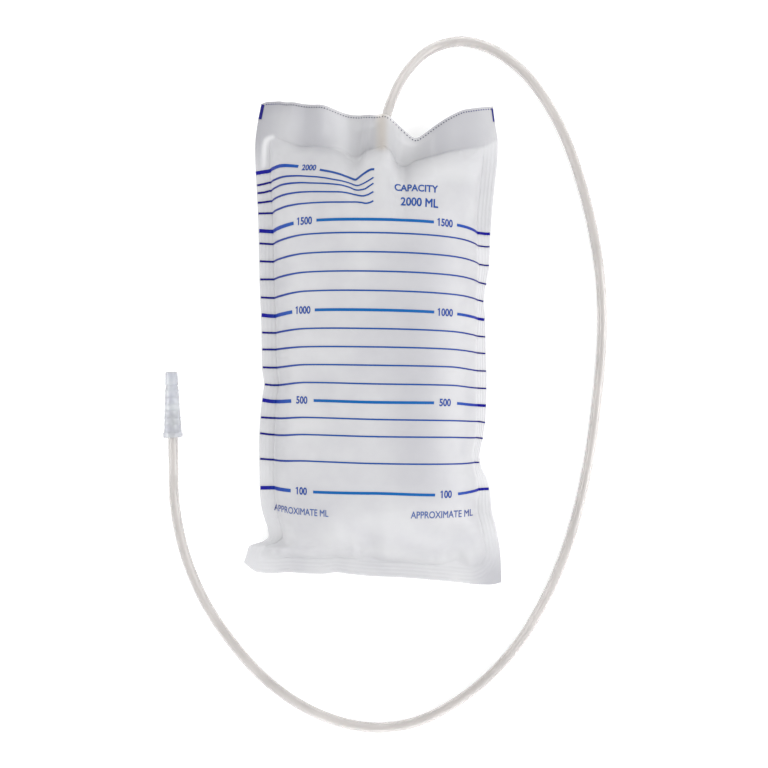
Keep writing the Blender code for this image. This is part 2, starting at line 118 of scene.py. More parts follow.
def select_only(piece: Piece) -> None:
    """Deselect everything, then select one object and make it active.

    Args:
        piece: The object.
    """
    bpy.ops.object.select_all(action="DESELECT")
    piece.select_set(True)
    bpy.context.view_layer.objects.active = piece


def join(pieces: list[Piece], name: str) -> Piece:
    """Join pieces into the first of them.

    Args:
        pieces: Mesh objects.
        name: The joined piece's name.

    Returns:
        The joined piece.
    """
    select_only(pieces[0])
    for piece in pieces[1:]:
        piece.select_set(True)
    bpy.ops.object.join()
    pieces[0].name = name
    pieces[0].data.name = name
    return pieces[0]


def read_points(mesh: bpy.types.Mesh) -> Floats:
    """Read a mesh's points as an array with one row each.

    Args:
        mesh: The mesh.

    Returns:
        The points.
    """
    points = np.empty(len(mesh.vertices) * 3)
    mesh.vertices.foreach_get("co", points)
    return points.reshape(-1, 3)


def write_points(mesh: bpy.types.Mesh, points: Floats) -> None:
    """Write a mesh's points, given as one row each."""
    mesh.vertices.foreach_set("co", points.ravel())
    mesh.update()


def add_grid(name: str, across: int, along: int) -> Piece:
    """Add a flat grid primitive, one metre square.

    Args:
        name: The piece's name.
        across: Cells in x.
        along: Cells in y.

    Returns:
        The grid.
    """
    bpy.ops.object.select_all(action="DESELECT")
    bpy.ops.mesh.primitive_grid_add(x_subdivisions=across, y_subdivisions=along, size=1.0)
    piece = bpy.context.active_object
    piece.name = name
    piece.data.name = name
    return piece


def thicken(piece: Piece, thickness: float, offset: float = 1.0) -> None:
    """Give a sheet its thickness with an applied Solidify.

    Args:
        piece: The sheet.
        thickness: Its thickness.
        offset: 1 outwards, -1 inwards.
    """
    solidify = piece.modifiers.new("Thickness", "SOLIDIFY")
    solidify.thickness = thickness
    solidify.offset = offset
    solidify.use_even_offset = True
    select_only(piece)
    bpy.ops.object.modifier_apply(modifier=solidify.name)


def dress(piece: Piece, material: Material, sharp: float | None = None) -> None:
    """Give a piece its material and smooth shading.

    Args:
        piece: The piece.
        material: Its only material.
        sharp: Angle in degrees above which an edge stays sharp, or None.
    """
    piece.data.materials.clear()
    piece.data.materials.append(material)
    select_only(piece)
    if sharp is None:
        bpy.ops.object.shade_smooth()
    else:
        bpy.ops.object.shade_smooth_by_angle(angle=math.radians(sharp))


def settle(piece: Piece) -> None:
    """Make a finished piece ride with the bag, and log its name and its number of points.

    Args:
        piece: The piece.
    """
    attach(piece, "root")
    logging.info("%s: %d points", piece.name, len(piece.data.vertices))


def empty_tree(owner: Material | bpy.types.World) -> Tree:
    """Give a material or the world an empty node tree.

    Args:
        owner: The material or the world.

    Returns:
        The tree.
    """
    owner.use_nodes = True
    owner.node_tree.nodes.clear()
    return owner.node_tree


def start_material(name: str) -> tuple[Material, Tree, Node]:
    """Start a material whose patterns lie on the piece's own coordinates.

    Args:
        name: Its name.

    Returns:
        The material, its tree and the node of the coordinates.
    """
    material = bpy.data.materials.new(name)
    tree = empty_tree(material)
    return material, tree, add_node(tree, "ShaderNodeTexCoord")


def set_stops(ramp: bpy.types.ColorRamp, *stops: tuple[float, str]) -> None:
    """Set the stops of a new colour ramp.

    Args:
        ramp: The ramp, which starts with two stops.
        stops: Positions in order, each with its hex colour.
    """
    for _ in stops[2:]:
        ramp.elements.new(0.5)
    for element, (position, colour) in zip(ramp.elements, stops):
        element.position = position
        element.color = linear(colour)


# Shape functions over arrays

class SmoothCurve:
    """A smooth curve through (place, value) points, which never overshoots them."""

    def __init__(self, points: tuple[Point, ...]) -> None:
        """Work out the curve's tangents.

        Args:
            points: Places and values, in order of place.
        """
        self.places, self.values = np.array(points, dtype=float).T
        self.steps = np.diff(self.places)
        slopes = np.diff(self.values) / self.steps
        before, after = slopes[:-1], slopes[1:]
        total = np.where(before * after > 0, before + after, 1.0)
        middle = np.where(before * after > 0, 2 * before * after / total, 0.0)
        self.tangents = np.concatenate(([slopes[0]], middle, [slopes[-1]]))

    def __call__(self, at: Floats) -> Floats:
        """Read the curve.

        Args:
            at: Places.

        Returns:
            The values there.
        """
        at = np.clip(at, self.places[0], self.places[-1])
        i = np.clip(np.searchsorted(self.places, at, side="right") - 1, 0, len(self.steps) - 1)
        u = (at - self.places[i]) / self.steps[i]
        start, end = self.tangents[i] * self.steps[i], self.tangents[i + 1] * self.steps[i]
        rise = self.values[i + 1] - self.values[i]
        curve = self.values[i] + u * start + u**2 * (3 * rise - 2 * start - end)
        return curve + u**3 * (start + end - 2 * rise)


def shoulder(distance: Floats, reach: float) -> Floats:
    """A quarter ellipse over a distance: 0 at a weld, 1 from reach onwards."""
    left = 1 - np.clip(distance / reach, 0.0, 1.0)
    return np.sqrt(1 - left * left)


def fade(distance: Floats, reach: float) -> Floats:
    """1 up to distance 0, falling smoothly to 0 at reach."""
    left = 1 - np.clip(distance / reach, 0.0, 1.0)
    return left * left * (3 - 2 * left)


def soft(distance: Floats, softness: float) -> Floats:
    """A distance whose start is rounded off, so that what grows with it starts gently."""
    return np.hypot(distance, softness) - softness


def hump(offset: Floats, half_width: float) -> Floats:
    """A smooth hump, 1 in its middle and 0 from half_width outwards."""
    return np.cos(math.pi / 2 * np.clip(np.abs(offset) / half_width, 0.0, 1.0)) ** 2


# The bag's form

@dataclass
class Spots:
    """Places on the bag in plan, with their distances from the chamber's four borders."""

    x: Floats
    y: Floats
    share: Floats
    from_left: Floats
    from_right: Floats
    from_bottom: Floats
    from_header: Floats
    from_top: Floats
    from_low_end: Floats
    right_weld: Floats


@dataclass
class BagForm:
    """The bag's edges and the heights of its layers, as the part's source has them."""

    width: float = 0.160
    length: float = 0.329
    side_weld: float = 0.0100
    bottom_weld: float = 0.0105
    header: float = 0.0240
    film: float = 0.00025
    weld_height: float = 0.0140
    weld_height_at_bottom: float = 0.0080
    weld_height_at_corner: float = 0.0030
    upper_rise: float = 0.0360
    lower_rise: float = 0.0240
    top_shoulder: float = 0.0380
    bottom_shoulder: float = 0.0420
    back_shoulder: float = 0.0280
    side_softness: float = 0.0020
    top_softness: float = 0.0110
    bottom_softness: float = 0.0040
    end_droop: float = 0.0500
    least_pillow_share: float = 0.35
    notch_x: float = 0.0281
    notch_depth: float = 0.0142
    notch_left_reach: float = 0.0180
    notch_right_reach: float = 0.0300
    notch_round: float = 0.0030
    notch_sharpness: float = 1.5
    notch_drop: float = 0.0022
    # The notch's fold runs down and to the left, towards the tube's mouth
    notch_slant: float = 0.41
    wave_reach: float = 0.042
    tube_diameter: float = 0.0065
    tube_x: float = 0.0092
    tube_height: float = 0.0145
    tube_clearance: float = 0.0005
    tube_end_inside: float = 0.0030
    tunnel_spread: float = 2.25
    valve_width: float = 0.0500
    valve_offset: float = 0.0041
    valve_drop: float = 0.0190
    valve_margin: float = 0.0040
    valve_top_share: float = 0.60
    leaf: float = 0.0002
    leaf_gap: float = 0.0003
    # Half the gap between the two leaves beside the tube
    leaf_half_gap: float = 0.00015
    # Half the gap between the films along a weld, where they look fused
    weld_half_gap: float = 0.00003
    rib_count: int = 4
    rib_height: float = 0.00036
    rib_end: float = 0.004
    # The weld's inner corner at the bottom right is rounded
    corner_radius: float = 0.0150
    corner_shoulder: float = 0.0120
    left_points: tuple[Point, ...] = (
        (0.045, -0.0080), (0.062, -0.0060), (0.080, -0.0038), (0.090, 0.0055), (0.102, 0.0095),
        (0.118, 0.0093), (0.141, 0.0074), (0.171, 0.0054), (0.209, 0.0046), (0.300, 0.0043),
        (0.383, 0.0061), (0.415, 0.0076), (0.450, 0.0062), (0.542, 0.0056), (0.626, 0.0045),
        (0.748, 0.0036), (0.844, 0.0021), (0.913, 0.0014), (0.960, 0.0022), (1.000, 0.0042),
    )
    right_points: tuple[Point, ...] = (
        (0.000, -0.0080), (0.052, -0.0070), (0.127, -0.0025), (0.157, 0.0002), (0.196, 0.0012),
        (0.221, 0.0033), (0.248, 0.0074), (0.270, 0.0083), (0.305, 0.0062), (0.350, 0.0041),
        (0.424, 0.0034), (0.485, 0.0040), (0.545, 0.0044), (0.582, 0.0055), (0.618, 0.0040),
        (0.655, 0.0018), (0.735, 0.0008), (0.813, -0.0015), (0.868, -0.0034), (0.906, -0.0041),
        (0.954, -0.0025), (1.000, -0.0010),
    )
    # The right weld's width, which shrinks where the flange is drawn in
    right_weld_points: tuple[Point, ...] = (
        (0.000, 0.0100), (0.160, 0.0095), (0.210, 0.0072), (0.257, 0.0040), (0.306, 0.0045),
        (0.340, 0.0055), (0.420, 0.0066), (0.500, 0.0060), (0.600, 0.0046), (0.640, 0.0064),
        (0.700, 0.0085), (0.780, 0.0100), (1.000, 0.0100),
    )
    bottom_points: tuple[Point, ...] = (
        (0.000, 0.0150), (0.030, 0.0112), (0.060, 0.0086), (0.110, 0.0081), (0.183, 0.0091),
        (0.252, 0.0084), (0.307, 0.0082), (0.361, 0.0093), (0.422, 0.0081), (0.500, 0.0068),
        (0.614, 0.0059), (0.763, 0.0035), (0.831, 0.0022), (0.900, 0.0005), (0.950, 0.0000),
        (1.000, 0.0012),
    )
    top_points: tuple[Point, ...] = (
        (0.000, 0.0013), (0.028, 0.0000), (0.070, 0.0009), (0.136, 0.0044), (0.222, 0.0061),
        (0.330, 0.0088), (0.413, 0.0116), (0.489, 0.0130), (0.600, 0.0136), (0.720, 0.0126),
        (0.820, 0.0110), (0.878, 0.0090), (1.000, 0.0045),
    )
    # How far the header's lower border lies below the rectangle's edge, past the header's own depth
    border_points: tuple[Point, ...] = (
        (0.000, 0.0030), (0.062, 0.0014), (0.129, 0.0066), (0.187, 0.0096), (0.269, 0.0104),
        (0.352, 0.0118), (0.418, 0.0176), (0.467, 0.0122), (0.517, 0.0108), (0.554, 0.0135),
        (0.590, 0.0225), (0.615, 0.0235), (0.656, 0.0200), (0.730, 0.0167), (0.803, 0.0132),
        (0.859, 0.0114), (0.937, 0.0086), (1.000, 0.0030),
    )
    # How far the header's edge stands above or below the weld height, along the top
    wave_points: tuple[Point, ...] = (
        (0.000, -0.0105), (0.040, -0.0095), (0.100, -0.0035), (0.155, 0.0020), (0.200, 0.0006),
        (0.270, 0.0030), (0.380, -0.0042), (0.465, -0.0008), (0.520, 0.0000), (0.600, 0.0000),
        (0.800, 0.0025), (0.920, -0.0010), (1.000, -0.0060),
    )
    # Gathers that run down from a weld, as (x, depth, half width, reach from the weld)
    top_gathers: tuple[Point4, ...] = (
        (-0.0137, 0.0050, 0.0080, 0.0170),
    )
    bottom_gathers: tuple[Point4, ...] = (
        (-0.0020, 0.0035, 0.0060, 0.0200), (0.0560, 0.0050, 0.0070, 0.0260),
    )
    # Soft folds that run down the header, as (x at its edge, x at the chamber, half width, height)
    pleats: tuple[Point4, ...] = (
        (-0.0320, -0.0370, 0.0080, 0.0012), (-0.0015, -0.0085, 0.0075, 0.0016),
        (-0.0055, -0.0085, 0.0016, 0.00030), (-0.0015, -0.0035, 0.0014, 0.00022),
        (0.0150, 0.0135, 0.0022, 0.00030), (0.0200, 0.0170, 0.0024, 0.00030),
    )
    pucker_height: float = 0.0008
    pucker_pitch: float = 0.0230
    pucker_reach: float = 0.0110
    # The puckers' spacing wanders, as (swing, pace, start), along the sides and along the bottom
    side_wander: Point3 = (1.9, 0.37, 0.0)
    bottom_wander: Point3 = (1.7, 0.41, 1.0)
    # Along the bottom they are wider apart: their pace beside the sides', and half width by the reach
    bottom_puckers: Point = (0.8, 0.7)
    # The side puckers lie in the middle of the bag, as (half length, reach)
    side_puckers: Point = (0.110, 0.030)

    def __post_init__(self) -> None:
        """Prepare the curves and the values that follow from the sizes."""
        self.left_curve = SmoothCurve(self.left_points)
        self.right_curve = SmoothCurve(self.right_points)
        self.right_weld_curve = SmoothCurve(self.right_weld_points)
        self.bottom_curve = SmoothCurve(self.bottom_points)
        self.top_curve = SmoothCurve(self.top_points)
        self.border_curve = SmoothCurve(self.border_points)
        self.wave_curve = SmoothCurve(self.wave_points)
        self.valve_x = self.tube_x + self.valve_offset
        self.leaf_tunnel = self.tube_diameter / 2 + self.tube_clearance
        self.film_tunnel = self.leaf_tunnel + self.leaf + self.leaf_gap

    def left_edge(self, y: Floats) -> Floats:
        """The left edge's x at a height y in plan."""
        return -self.width / 2 + self.left_curve(y / self.length + 0.5)

    def right_edge(self, y: Floats) -> Floats:
        """The right edge's x at a height y in plan."""
        return self.width / 2 - self.right_curve(y / self.length + 0.5)

    def right_weld(self, y: Floats) -> Floats:
        """The right weld's width at a height y in plan."""
        return self.right_weld_curve(y / self.length + 0.5)

    def bottom_edge(self, share: Floats) -> Floats:
        """The bottom edge's y at a share of the way across."""
        return -self.length / 2 + self.bottom_curve(share)

    def header_x(self, share: Floats) -> Floats:
        """The x at a share of the way across the header's edge."""
        left, right = self.left_edge(self.length / 2), self.right_edge(self.length / 2)
        return left + (right - left) * share

    def header_share(self, x: Floats) -> Floats:
        """The share of the way across the header's edge at an x."""
        left, right = self.left_edge(self.length / 2), self.right_edge(self.length / 2)
        return (x - left) / (right - left)

    def notch(self, x: Floats) -> Floats:
        """How far into the header's notch an x is, 0 beside it and 1 in its fold.

        Args:
            x: Places across the header.

        Returns:
            Values from 0 to 1.
        """
        reach = np.where(x < self.notch_x, self.notch_left_reach, self.notch_right_reach)
        off = soft(x - self.notch_x, self.notch_round)
        return np.clip(1 - off / reach, 0.0, 1.0) ** self.notch_sharpness

    def top_drop(self, share: Floats) -> Floats:
        """How far the top edge lies below the rectangle's, at a share of the way across."""
        return self.top_curve(share) + self.notch_depth * self.notch(self.header_x(share))

    def top_edge(self, share: Floats) -> Floats:
        """The top edge's y at a share of the way across."""
        return self.length / 2 - self.top_drop(share)

    def header_depth(self, share: Floats) -> Floats:
        """The header's depth at a share of the way across."""
        return self.header + self.border_curve(share) - self.top_drop(share)

    @staticmethod
    def place_in_span(station: Floats, span: Floats, low_weld: Floats, high_weld: Floats) -> Floats:
        """Place along a span of weld, chamber and weld.

        Args:
            station: From 0 to 1 in the low weld, to 2 in the chamber, to 3 in the high weld.
            span: The whole length.
            low_weld: The low weld's width.
            high_weld: The high weld's width.

        Returns:
            Distance from the span's start.
        """
        low = low_weld * station
        chamber = low_weld + (span - low_weld - high_weld) * (station - 1)
        high = span - high_weld * (3 - station)
        return np.where(station <= 1, low, np.where(station <= 2, chamber, high))

    def spots(self, a: Floats, b: Floats) -> Spots:
        """Lay stations out in plan.

        Args:
            a: Stations across the bag, from 0 to 3.
            b: Stations along the bag, from 0 to 3.

        Returns:
            The places.
        """
        share = self.place_in_span(a, self.width, self.side_weld, self.side_weld) / self.width
        low, high = self.bottom_edge(share), self.top_edge(share)
        header = self.header_depth(share)
        y = low + self.place_in_span(b, high - low, self.bottom_weld, header)
        left, right, right_weld = self.left_edge(y), self.right_edge(y), self.right_weld(y)
        x = left + self.place_in_span(a, right - left, self.side_weld, right_weld)
        return Spots(
            x=x,
            y=y,
            share=share,
            from_left=x - left - self.side_weld,
            from_right=right - right_weld - x,
            right_weld=right_weld,
            from_bottom=y - low - self.bottom_weld,
            from_header=high - header - y,
            from_top=high - y,
            from_low_end=y - low,
        )

    def weld_plane(self, s: Spots) -> Floats:
        """Height of the plane that the two films meet in, carried on across the chamber.

        Args:
            s: The places.

        Returns:
            Heights above the floor.
        """
        corner = np.abs(2 * s.share - 1) ** 3
        rise = self.weld_height_at_corner - self.weld_height_at_bottom
        low_end = self.weld_height_at_bottom + rise * corner
        height = self.weld_height + (low_end - self.weld_height) * fade(s.from_low_end, self.end_droop)
        valley = self.notch(s.x + self.notch_slant * s.from_top)
        wave = self.wave_curve(s.share) - self.notch_drop * valley
        height = height + wave * fade(s.from_top, self.wave_reach)
        past_header = fade(s.from_top - self.header, self.valve_drop)
        level = hump(s.x - self.tube_x, 2 * self.tube_diameter) * past_header
        height = height + (self.tube_height - height) * level
        down = s.from_top / self.header
        for top, foot, half, high in self.pleats:
            fold = hump(s.x - top - (foot - top) * down, half)
            height = height + high * fold * fade(np.maximum(s.from_header, 0.0), self.pucker_reach)
        return height

    def tunnel(self, s: Spots, radius: float, flat: Floats) -> Floats:
        """How far a layer stands off the weld plane to clear the tube, over its flat stand-off.

        Args:
            s: The places.
            radius: The layer's distance from the tube's middle.
            flat: Its stand-off beside the tube.

        Returns:
            What the tube adds.
        """
        over = hump(s.x - self.tube_x, self.tunnel_spread * radius)
        inside = 2 * self.tube_end_inside
        return (radius - flat) * over * fade(s.from_header - inside, self.valve_drop - inside)

    def film_stand_off(self, s: Spots) -> Floats:
        """Half the gap between the films, opened where the valve and the tube lie between them.

        Args:
            s: The places.

        Returns:
            Distances from the weld plane.
        """
        beside = np.abs(s.x - self.valve_x) - self.valve_width / 2
        top = self.header_depth(s.share) * self.valve_top_share
        past = np.maximum(-s.from_header - top, s.from_header - self.valve_drop)
        over_valve = fade(beside, self.valve_margin) * fade(past, self.valve_margin)
        flat = self.weld_half_gap + over_valve * (self.leaf_half_gap + self.leaf + self.leaf_gap)
        return flat + self.tunnel(s, self.film_tunnel, flat)

    def inside(self, s: Spots) -> Floats:
        """Distance into the chamber, with the round corner.

        Args:
            s: The places.

        Returns:
            Distances, negative over a weld.
        """
        beside = np.minimum(s.from_left, s.from_right)
        straight = np.minimum(beside, np.minimum(s.from_bottom, s.from_header))
        radius = self.corner_radius
        near = (s.from_right < radius) & (s.from_bottom < radius)
        rounded = radius - np.hypot(radius - s.from_right, radius - s.from_bottom)
        return np.where(near, rounded, straight)

    def ribs(self, s: Spots, inside: Floats) -> Floats:
        """The raised ribs that the welding bars leave along the side and bottom welds.

        Args:
            s: The places.
            inside: Their distances into the chamber.

        Returns:
            Heights above the film.
        """
        weld = np.where(-s.from_right >= -inside - 1e-9, s.right_weld, self.side_weld)
        outward = np.clip(-inside / weld, 0.0, 1.0)
        ribbed = fade(-s.from_header, self.rib_end)
        return self.rib_height * np.sin(math.pi * self.rib_count * outward) ** 2 * ribbed

    def puckers(self, s: Spots) -> Floats:
        """The small folds where the blown-up face meets the side and bottom welds.

        Args:
            s: The places.

        Returns:
            Heights, 0 or below.
        """
        reach = self.pucker_reach
        turn = 2 * math.pi / self.pucker_pitch
        swing, pace, start = self.side_wander
        along = np.sin(turn * s.y + swing * np.sin(pace * turn * s.y + start)) ** 2
        swing, pace, start = self.bottom_wander
        slower, half_width = self.bottom_puckers
        across = np.sin(slower * turn * s.x + swing * np.sin(pace * turn * s.x + start)) ** 2
        beside = hump(s.from_left - reach / 2, reach / 2) + hump(s.from_right - reach / 2, reach / 2)
        near_bottom = hump(s.from_bottom - half_width * reach, half_width * reach)
        corner = shoulder(np.minimum(s.from_left, s.from_right) / reach, 1.0) * (s.from_bottom > 0)
        half_length, end = self.side_puckers
        in_middle = fade(np.abs(s.y) - half_length, end)
        return -self.pucker_height * (along * beside * in_middle + across * near_bottom * corner)

    def pillow(self, s: Spots, inside: Floats) -> Floats:
        """How far the front film is blown up above the weld plane.

        Args:
            s: The places.
            inside: Their distances into the chamber.

        Returns:
            Heights above the weld plane.
        """
        gathered = np.zeros_like(s.x)
        for gathers, distance in ((self.top_gathers, s.from_header), (self.bottom_gathers, s.from_bottom)):
            for x, deep, half_width, reach in gathers:
                gathered += deep * hump(s.x - x, 2 * half_width) * fade(distance, 2 * reach)
        length_share = np.clip(s.y / self.length + 0.5, 0.0, 1.0)
        rise = self.lower_rise + (self.upper_rise - self.lower_rise) * fade(1 - length_share, 1.0)
        left = soft(np.maximum(s.from_left, 0.0), self.side_softness)
        right = soft(np.maximum(s.from_right, 0.0), self.side_softness)
        across = 2 * np.sqrt(left * right) / (left + right)
        top = shoulder(soft(np.maximum(s.from_header, 0.0), self.top_softness), self.top_shoulder)
        low = shoulder(soft(np.maximum(s.from_bottom, 0.0), self.bottom_softness), self.bottom_shoulder)
        ends = top * low
        full = rise * across * ends
        plain = shoulder(np.minimum(s.from_right, s.from_bottom), self.corner_shoulder)
        corner = shoulder(inside, self.corner_shoulder) / np.maximum(plain, 1e-6)
        full = full * np.where(s.from_right < self.corner_radius, np.minimum(corner, 1.0), 1.0)
        blown = np.maximum(full - gathered * across, full * self.least_pillow_share)
        return np.where(inside > 0, blown, 0.0)

    def front_height(self, s: Spots) -> Floats:
        """Height of the front film's inner face.

        Args:
            s: The places.

        Returns:
            Heights above the floor.
        """
        inside = self.inside(s)
        height = self.weld_plane(s) + self.film_stand_off(s)
        height = height + self.pillow(s, inside) + self.ribs(s, inside)
        return height + np.where(inside > 0, self.puckers(s), 0.0)

    def back_height(self, s: Spots) -> Floats:
        """Height of the back film's inner face: it hangs from the weld and lies flat on the floor.

        Args:
            s: The places.

        Returns:
            Heights above the floor.
        """
        height = self.weld_plane(s) - self.film_stand_off(s)
        down = shoulder(np.minimum(s.from_left, s.from_right), self.back_shoulder)
        down = down * shoulder(np.minimum(s.from_header, s.from_bottom), self.back_shoulder)
        down = np.where(self.inside(s) > 0, down, 0.0)
        return self.film + (height - self.film) * (1 - down)

    def leaf_height(self, s: Spots, sign: int) -> Floats:
        """Height of a valve leaf's inner face, 1 for the front one and -1 for the back one."""
        flat = np.full_like(s.x, self.leaf_half_gap)
        return self.weld_plane(s) + sign * (flat + self.tunnel(s, self.leaf_tunnel, flat))

    def chamber_share_of(self, x: float) -> float:
        """Share across the chamber at which a column passes an x, half way down the header.

        Args:
            x: The place.

        Returns:
            The share, from 0 to 1.
        """
        y = self.top_edge(np.array(0.5)) - self.header_depth(np.array(0.5)) / 2
        low = self.left_edge(y) + self.side_weld
        return float((x - low) / (self.right_edge(y) - self.right_weld(y) - low))


def stations(weld_cells: int, chamber_cells: int, far_cells: int, crowds: tuple[Point3, ...]) -> Floats:
    """Stations across or along the bag, crowded where the form is tight.

    Args:
        weld_cells: Cells in the first weld.
        chamber_cells: Cells in the chamber.
        far_cells: Cells in the far weld or header.
        crowds: Where the chamber's cells crowd, as (share of the chamber, half width, weight).

    Returns:
        The stations, from 0 to 3.
    """
    fine = np.linspace(0, 1, 2001)
    density = 1 + sum(weight * hump(fine - share, half_width) for share, half_width, weight in crowds)
    total = np.concatenate(([0.0], np.cumsum((density[1:] + density[:-1]) / 2)))
    chamber = 1 + np.interp(np.linspace(0, total[-1], chamber_cells + 1), total, fine)
    weld = np.linspace(0, 1, weld_cells, endpoint=False)
    far = np.linspace(2, 3, far_cells + 1)[1:]
    return np.concatenate((weld, chamber, far))


# Finishes

@dataclass(frozen=True)
class FilmFinish:
    """Calendered soft PVC film: a fine matt grain from the roller, and haze where it was handled."""

    name: str
    pale: str
    dull: str
    alpha: float = 1.0
    roughness: Point = (0.34, 0.46)
    ior: float = 1.53
    # Patch size of the haze, and where its two tones start and end
    haze: float = 0.030
    haze_ends: Point = (0.30, 0.68)
    # Roller lines run along the film as it was drawn, so their noise is stretched along y
    draw: float = 0.004
    draw_stretch: Point3 = (1.0, 0.06, 1.0)
    draw_strength: float = 0.35
    grain: float = 0.0007
    grain_depth: float = 0.00004
    grain_strength: float = 0.5
    # Two films welded together are greyer than one; that grey also carries painted shade of folds, face and
    # corner, and the pale colour below is painted light on the rims, corner, lit folds and under the
    # header's border
    header: str = "#C6C6CB"
    rim: str = "#F4F4F6"
    # The tube under the film shows as a warm stripe
    warm: str = "#DFD7CD"

    def make(self) -> Material:
        """Build the material.

        Returns:
            The material.
        """
        material, tree, place = start_material(self.name)
        haze = add_node(
            tree, "ShaderNodeTexNoise",
            values={"Scale": 1 / self.haze, "Detail": 3.0, "Roughness": 0.55},
            links={"Vector": (place, "Object")},
        )
        colour = add_node(tree, "ShaderNodeValToRGB", links={"Fac": (haze, "Fac")})
        set_stops(colour.color_ramp, (self.haze_ends[0], self.dull), (self.haze_ends[1], self.pale))
        output = 0
        # Mix in the grey with its painted shade, then the painted light, then the tube's warm tint
        for attribute, tone in ((GREY_AND_SHADE_TONE, self.header), (PAINTED_LIGHT_TONE, self.rim), (TUBE_TONE, self.warm)):
            share = add_node(tree, "ShaderNodeAttribute", {"attribute_name": attribute})
            colour = add_node(
                tree, "ShaderNodeMix", {"data_type": "RGBA"}, {7: linear(tone)},
                {"Factor": (share, "Fac"), 6: (colour, output)},
            )
            output = 2
        drawn = add_node(
            tree, "ShaderNodeMapping",
            values={"Scale": self.draw_stretch},
            links={"Vector": (place, "Object")},
        )
        normal = {}
        for size, depth, strength, vector in (
            (self.draw, self.grain_depth * 2, self.draw_strength, (drawn, "Vector")),
            (self.grain, self.grain_depth, self.grain_strength, (place, "Object")),
        ):
            noise = add_node(
                tree, "ShaderNodeTexNoise",
                values={"Scale": 1 / size, "Detail": 2.0},
                links={"Vector": vector},
            )
            bump = add_node(
                tree, "ShaderNodeBump",
                values={"Strength": strength, "Distance": depth},
                links={"Height": (noise, "Fac"), **normal},
            )
            normal = {"Normal": (bump, "Normal")}
        rough = add_node(
            tree, "ShaderNodeMapRange",
            values={"To Min": self.roughness[0], "To Max": self.roughness[1]},
            links={"Value": (haze, "Fac")},
        )
        shader = add_node(
            tree, "ShaderNodeBsdfPrincipled",
            values={"Metallic": 0.0, "IOR": self.ior, "Alpha": self.alpha},
            links={"Base Color": (colour, output), "Roughness": (rough, "Result"), **normal},
        )
        add_node(tree, "ShaderNodeOutputMaterial", links={"Surface": (shader, "BSDF")})
        return material


@dataclass(frozen=True)
class InkFinish:
    """Screen-printed ink: a thin matt layer, paler in the middle of the bag and darker towards its sides.
    """

    name: str = "Screen_printed_ink"
    middle: str = "#0B5A9E"
    side: str = "#14489E"
    edge: str = "#140E88"
    # Where each tone is reached, as shares of the way from the bag's middle to its side
    reached: Point3 = (0.45, 0.75, 0.95)
    width: float = 0.160
    mottle: float = 0.0010
    mottle_amount: float = 0.12
    roughness: float = 0.42
    specular: float = 0.2
    ior: float = 1.48

    def make(self) -> Material:
        """Build the material.

        Returns:
            The material.
        """
        material, tree, place = start_material(self.name)
        split = add_node(tree, "ShaderNodeSeparateXYZ", links={"Vector": (place, "Object")})
        across = add_node(tree, "ShaderNodeMath", {"operation": "ABSOLUTE"}, links={0: (split, "X")})
        share = add_node(
            tree, "ShaderNodeMath", {"operation": "MULTIPLY"}, {1: 2 / self.width}, {0: (across, 0)}
        )
        mottle = add_node(
            tree, "ShaderNodeTexNoise",
            values={"Scale": 1 / self.mottle, "Detail": 2.0},
            links={"Vector": (place, "Object")},
        )
        jitter = add_node(
            tree, "ShaderNodeMath", {"operation": "MULTIPLY_ADD"}, {1: self.mottle_amount},
            {0: (mottle, "Fac"), 2: (share, 0)},
        )
        tone = add_node(tree, "ShaderNodeValToRGB", links={"Fac": (jitter, 0)})
        set_stops(tone.color_ramp, *zip(self.reached, (self.middle, self.side, self.edge)))
        shader = add_node(
            tree, "ShaderNodeBsdfPrincipled",
            values={
                "Metallic": 0.0,
                "IOR": self.ior,
                "Roughness": self.roughness,
                "Specular IOR Level": self.specular,
            },
            links={"Base Color": (tone, "Color")},
        )
        add_node(tree, "ShaderNodeOutputMaterial", links={"Surface": (shader, "BSDF")})
        return material


@dataclass(frozen=True)
class ClearFinish:
    """A see-through plastic with soft clouds in it, and a fine grain if its mould left one."""

    name: str
    pale: str
    dull: str
    roughness: float
    ior: float
    transmission: float
    cloud: float
    cloud_ends: Point = (0.3, 0.7)
    grain: float = 0.0005
    grain_depth: float = 0.0
    grain_strength: float = 0.3

    def make(self) -> Material:
        """Build the material.

        Returns:
            The material.
        """
        material, tree, place = start_material(self.name)
        cloud = add_node(
            tree, "ShaderNodeTexNoise",
            values={"Scale": 1 / self.cloud, "Detail": 2.0},
            links={"Vector": (place, "Object")},
        )
        tone = add_node(tree, "ShaderNodeValToRGB", links={"Fac": (cloud, "Fac")})
        set_stops(tone.color_ramp, (self.cloud_ends[0], self.dull), (self.cloud_ends[1], self.pale))
        links = {"Base Color": (tone, "Color")}
        if self.grain_depth:
            grain = add_node(
                tree, "ShaderNodeTexNoise",
                values={"Scale": 1 / self.grain, "Detail": 2.0},
                links={"Vector": (place, "Object")},
            )
            bump = add_node(
                tree, "ShaderNodeBump",
                values={"Strength": self.grain_strength, "Distance": self.grain_depth},
                links={"Height": (grain, "Fac")},
            )
            links["Normal"] = (bump, "Normal")
        shader = add_node(
            tree, "ShaderNodeBsdfPrincipled",
            values={
                "Metallic": 0.0,
                "IOR": self.ior,
                "Roughness": self.roughness,
                "Transmission Weight": self.transmission,
            },
            links=links,
        )
        add_node(tree, "ShaderNodeOutputMaterial", links={"Surface": (shader, "BSDF")})
        return material


@dataclass(frozen=True)
class TubeFinish(ClearFinish):
    """Extruded clear soft PVC: smooth and glassy, faintly warm and grey."""

    name: str = "Extruded_clear_PVC_tube"
    pale: str = "#E9E6E4"
    dull: str = "#E1DEDC"
    roughness: float = 0.10
    ior: float = 1.52
    transmission: float = 0.70
    cloud: float = 0.030


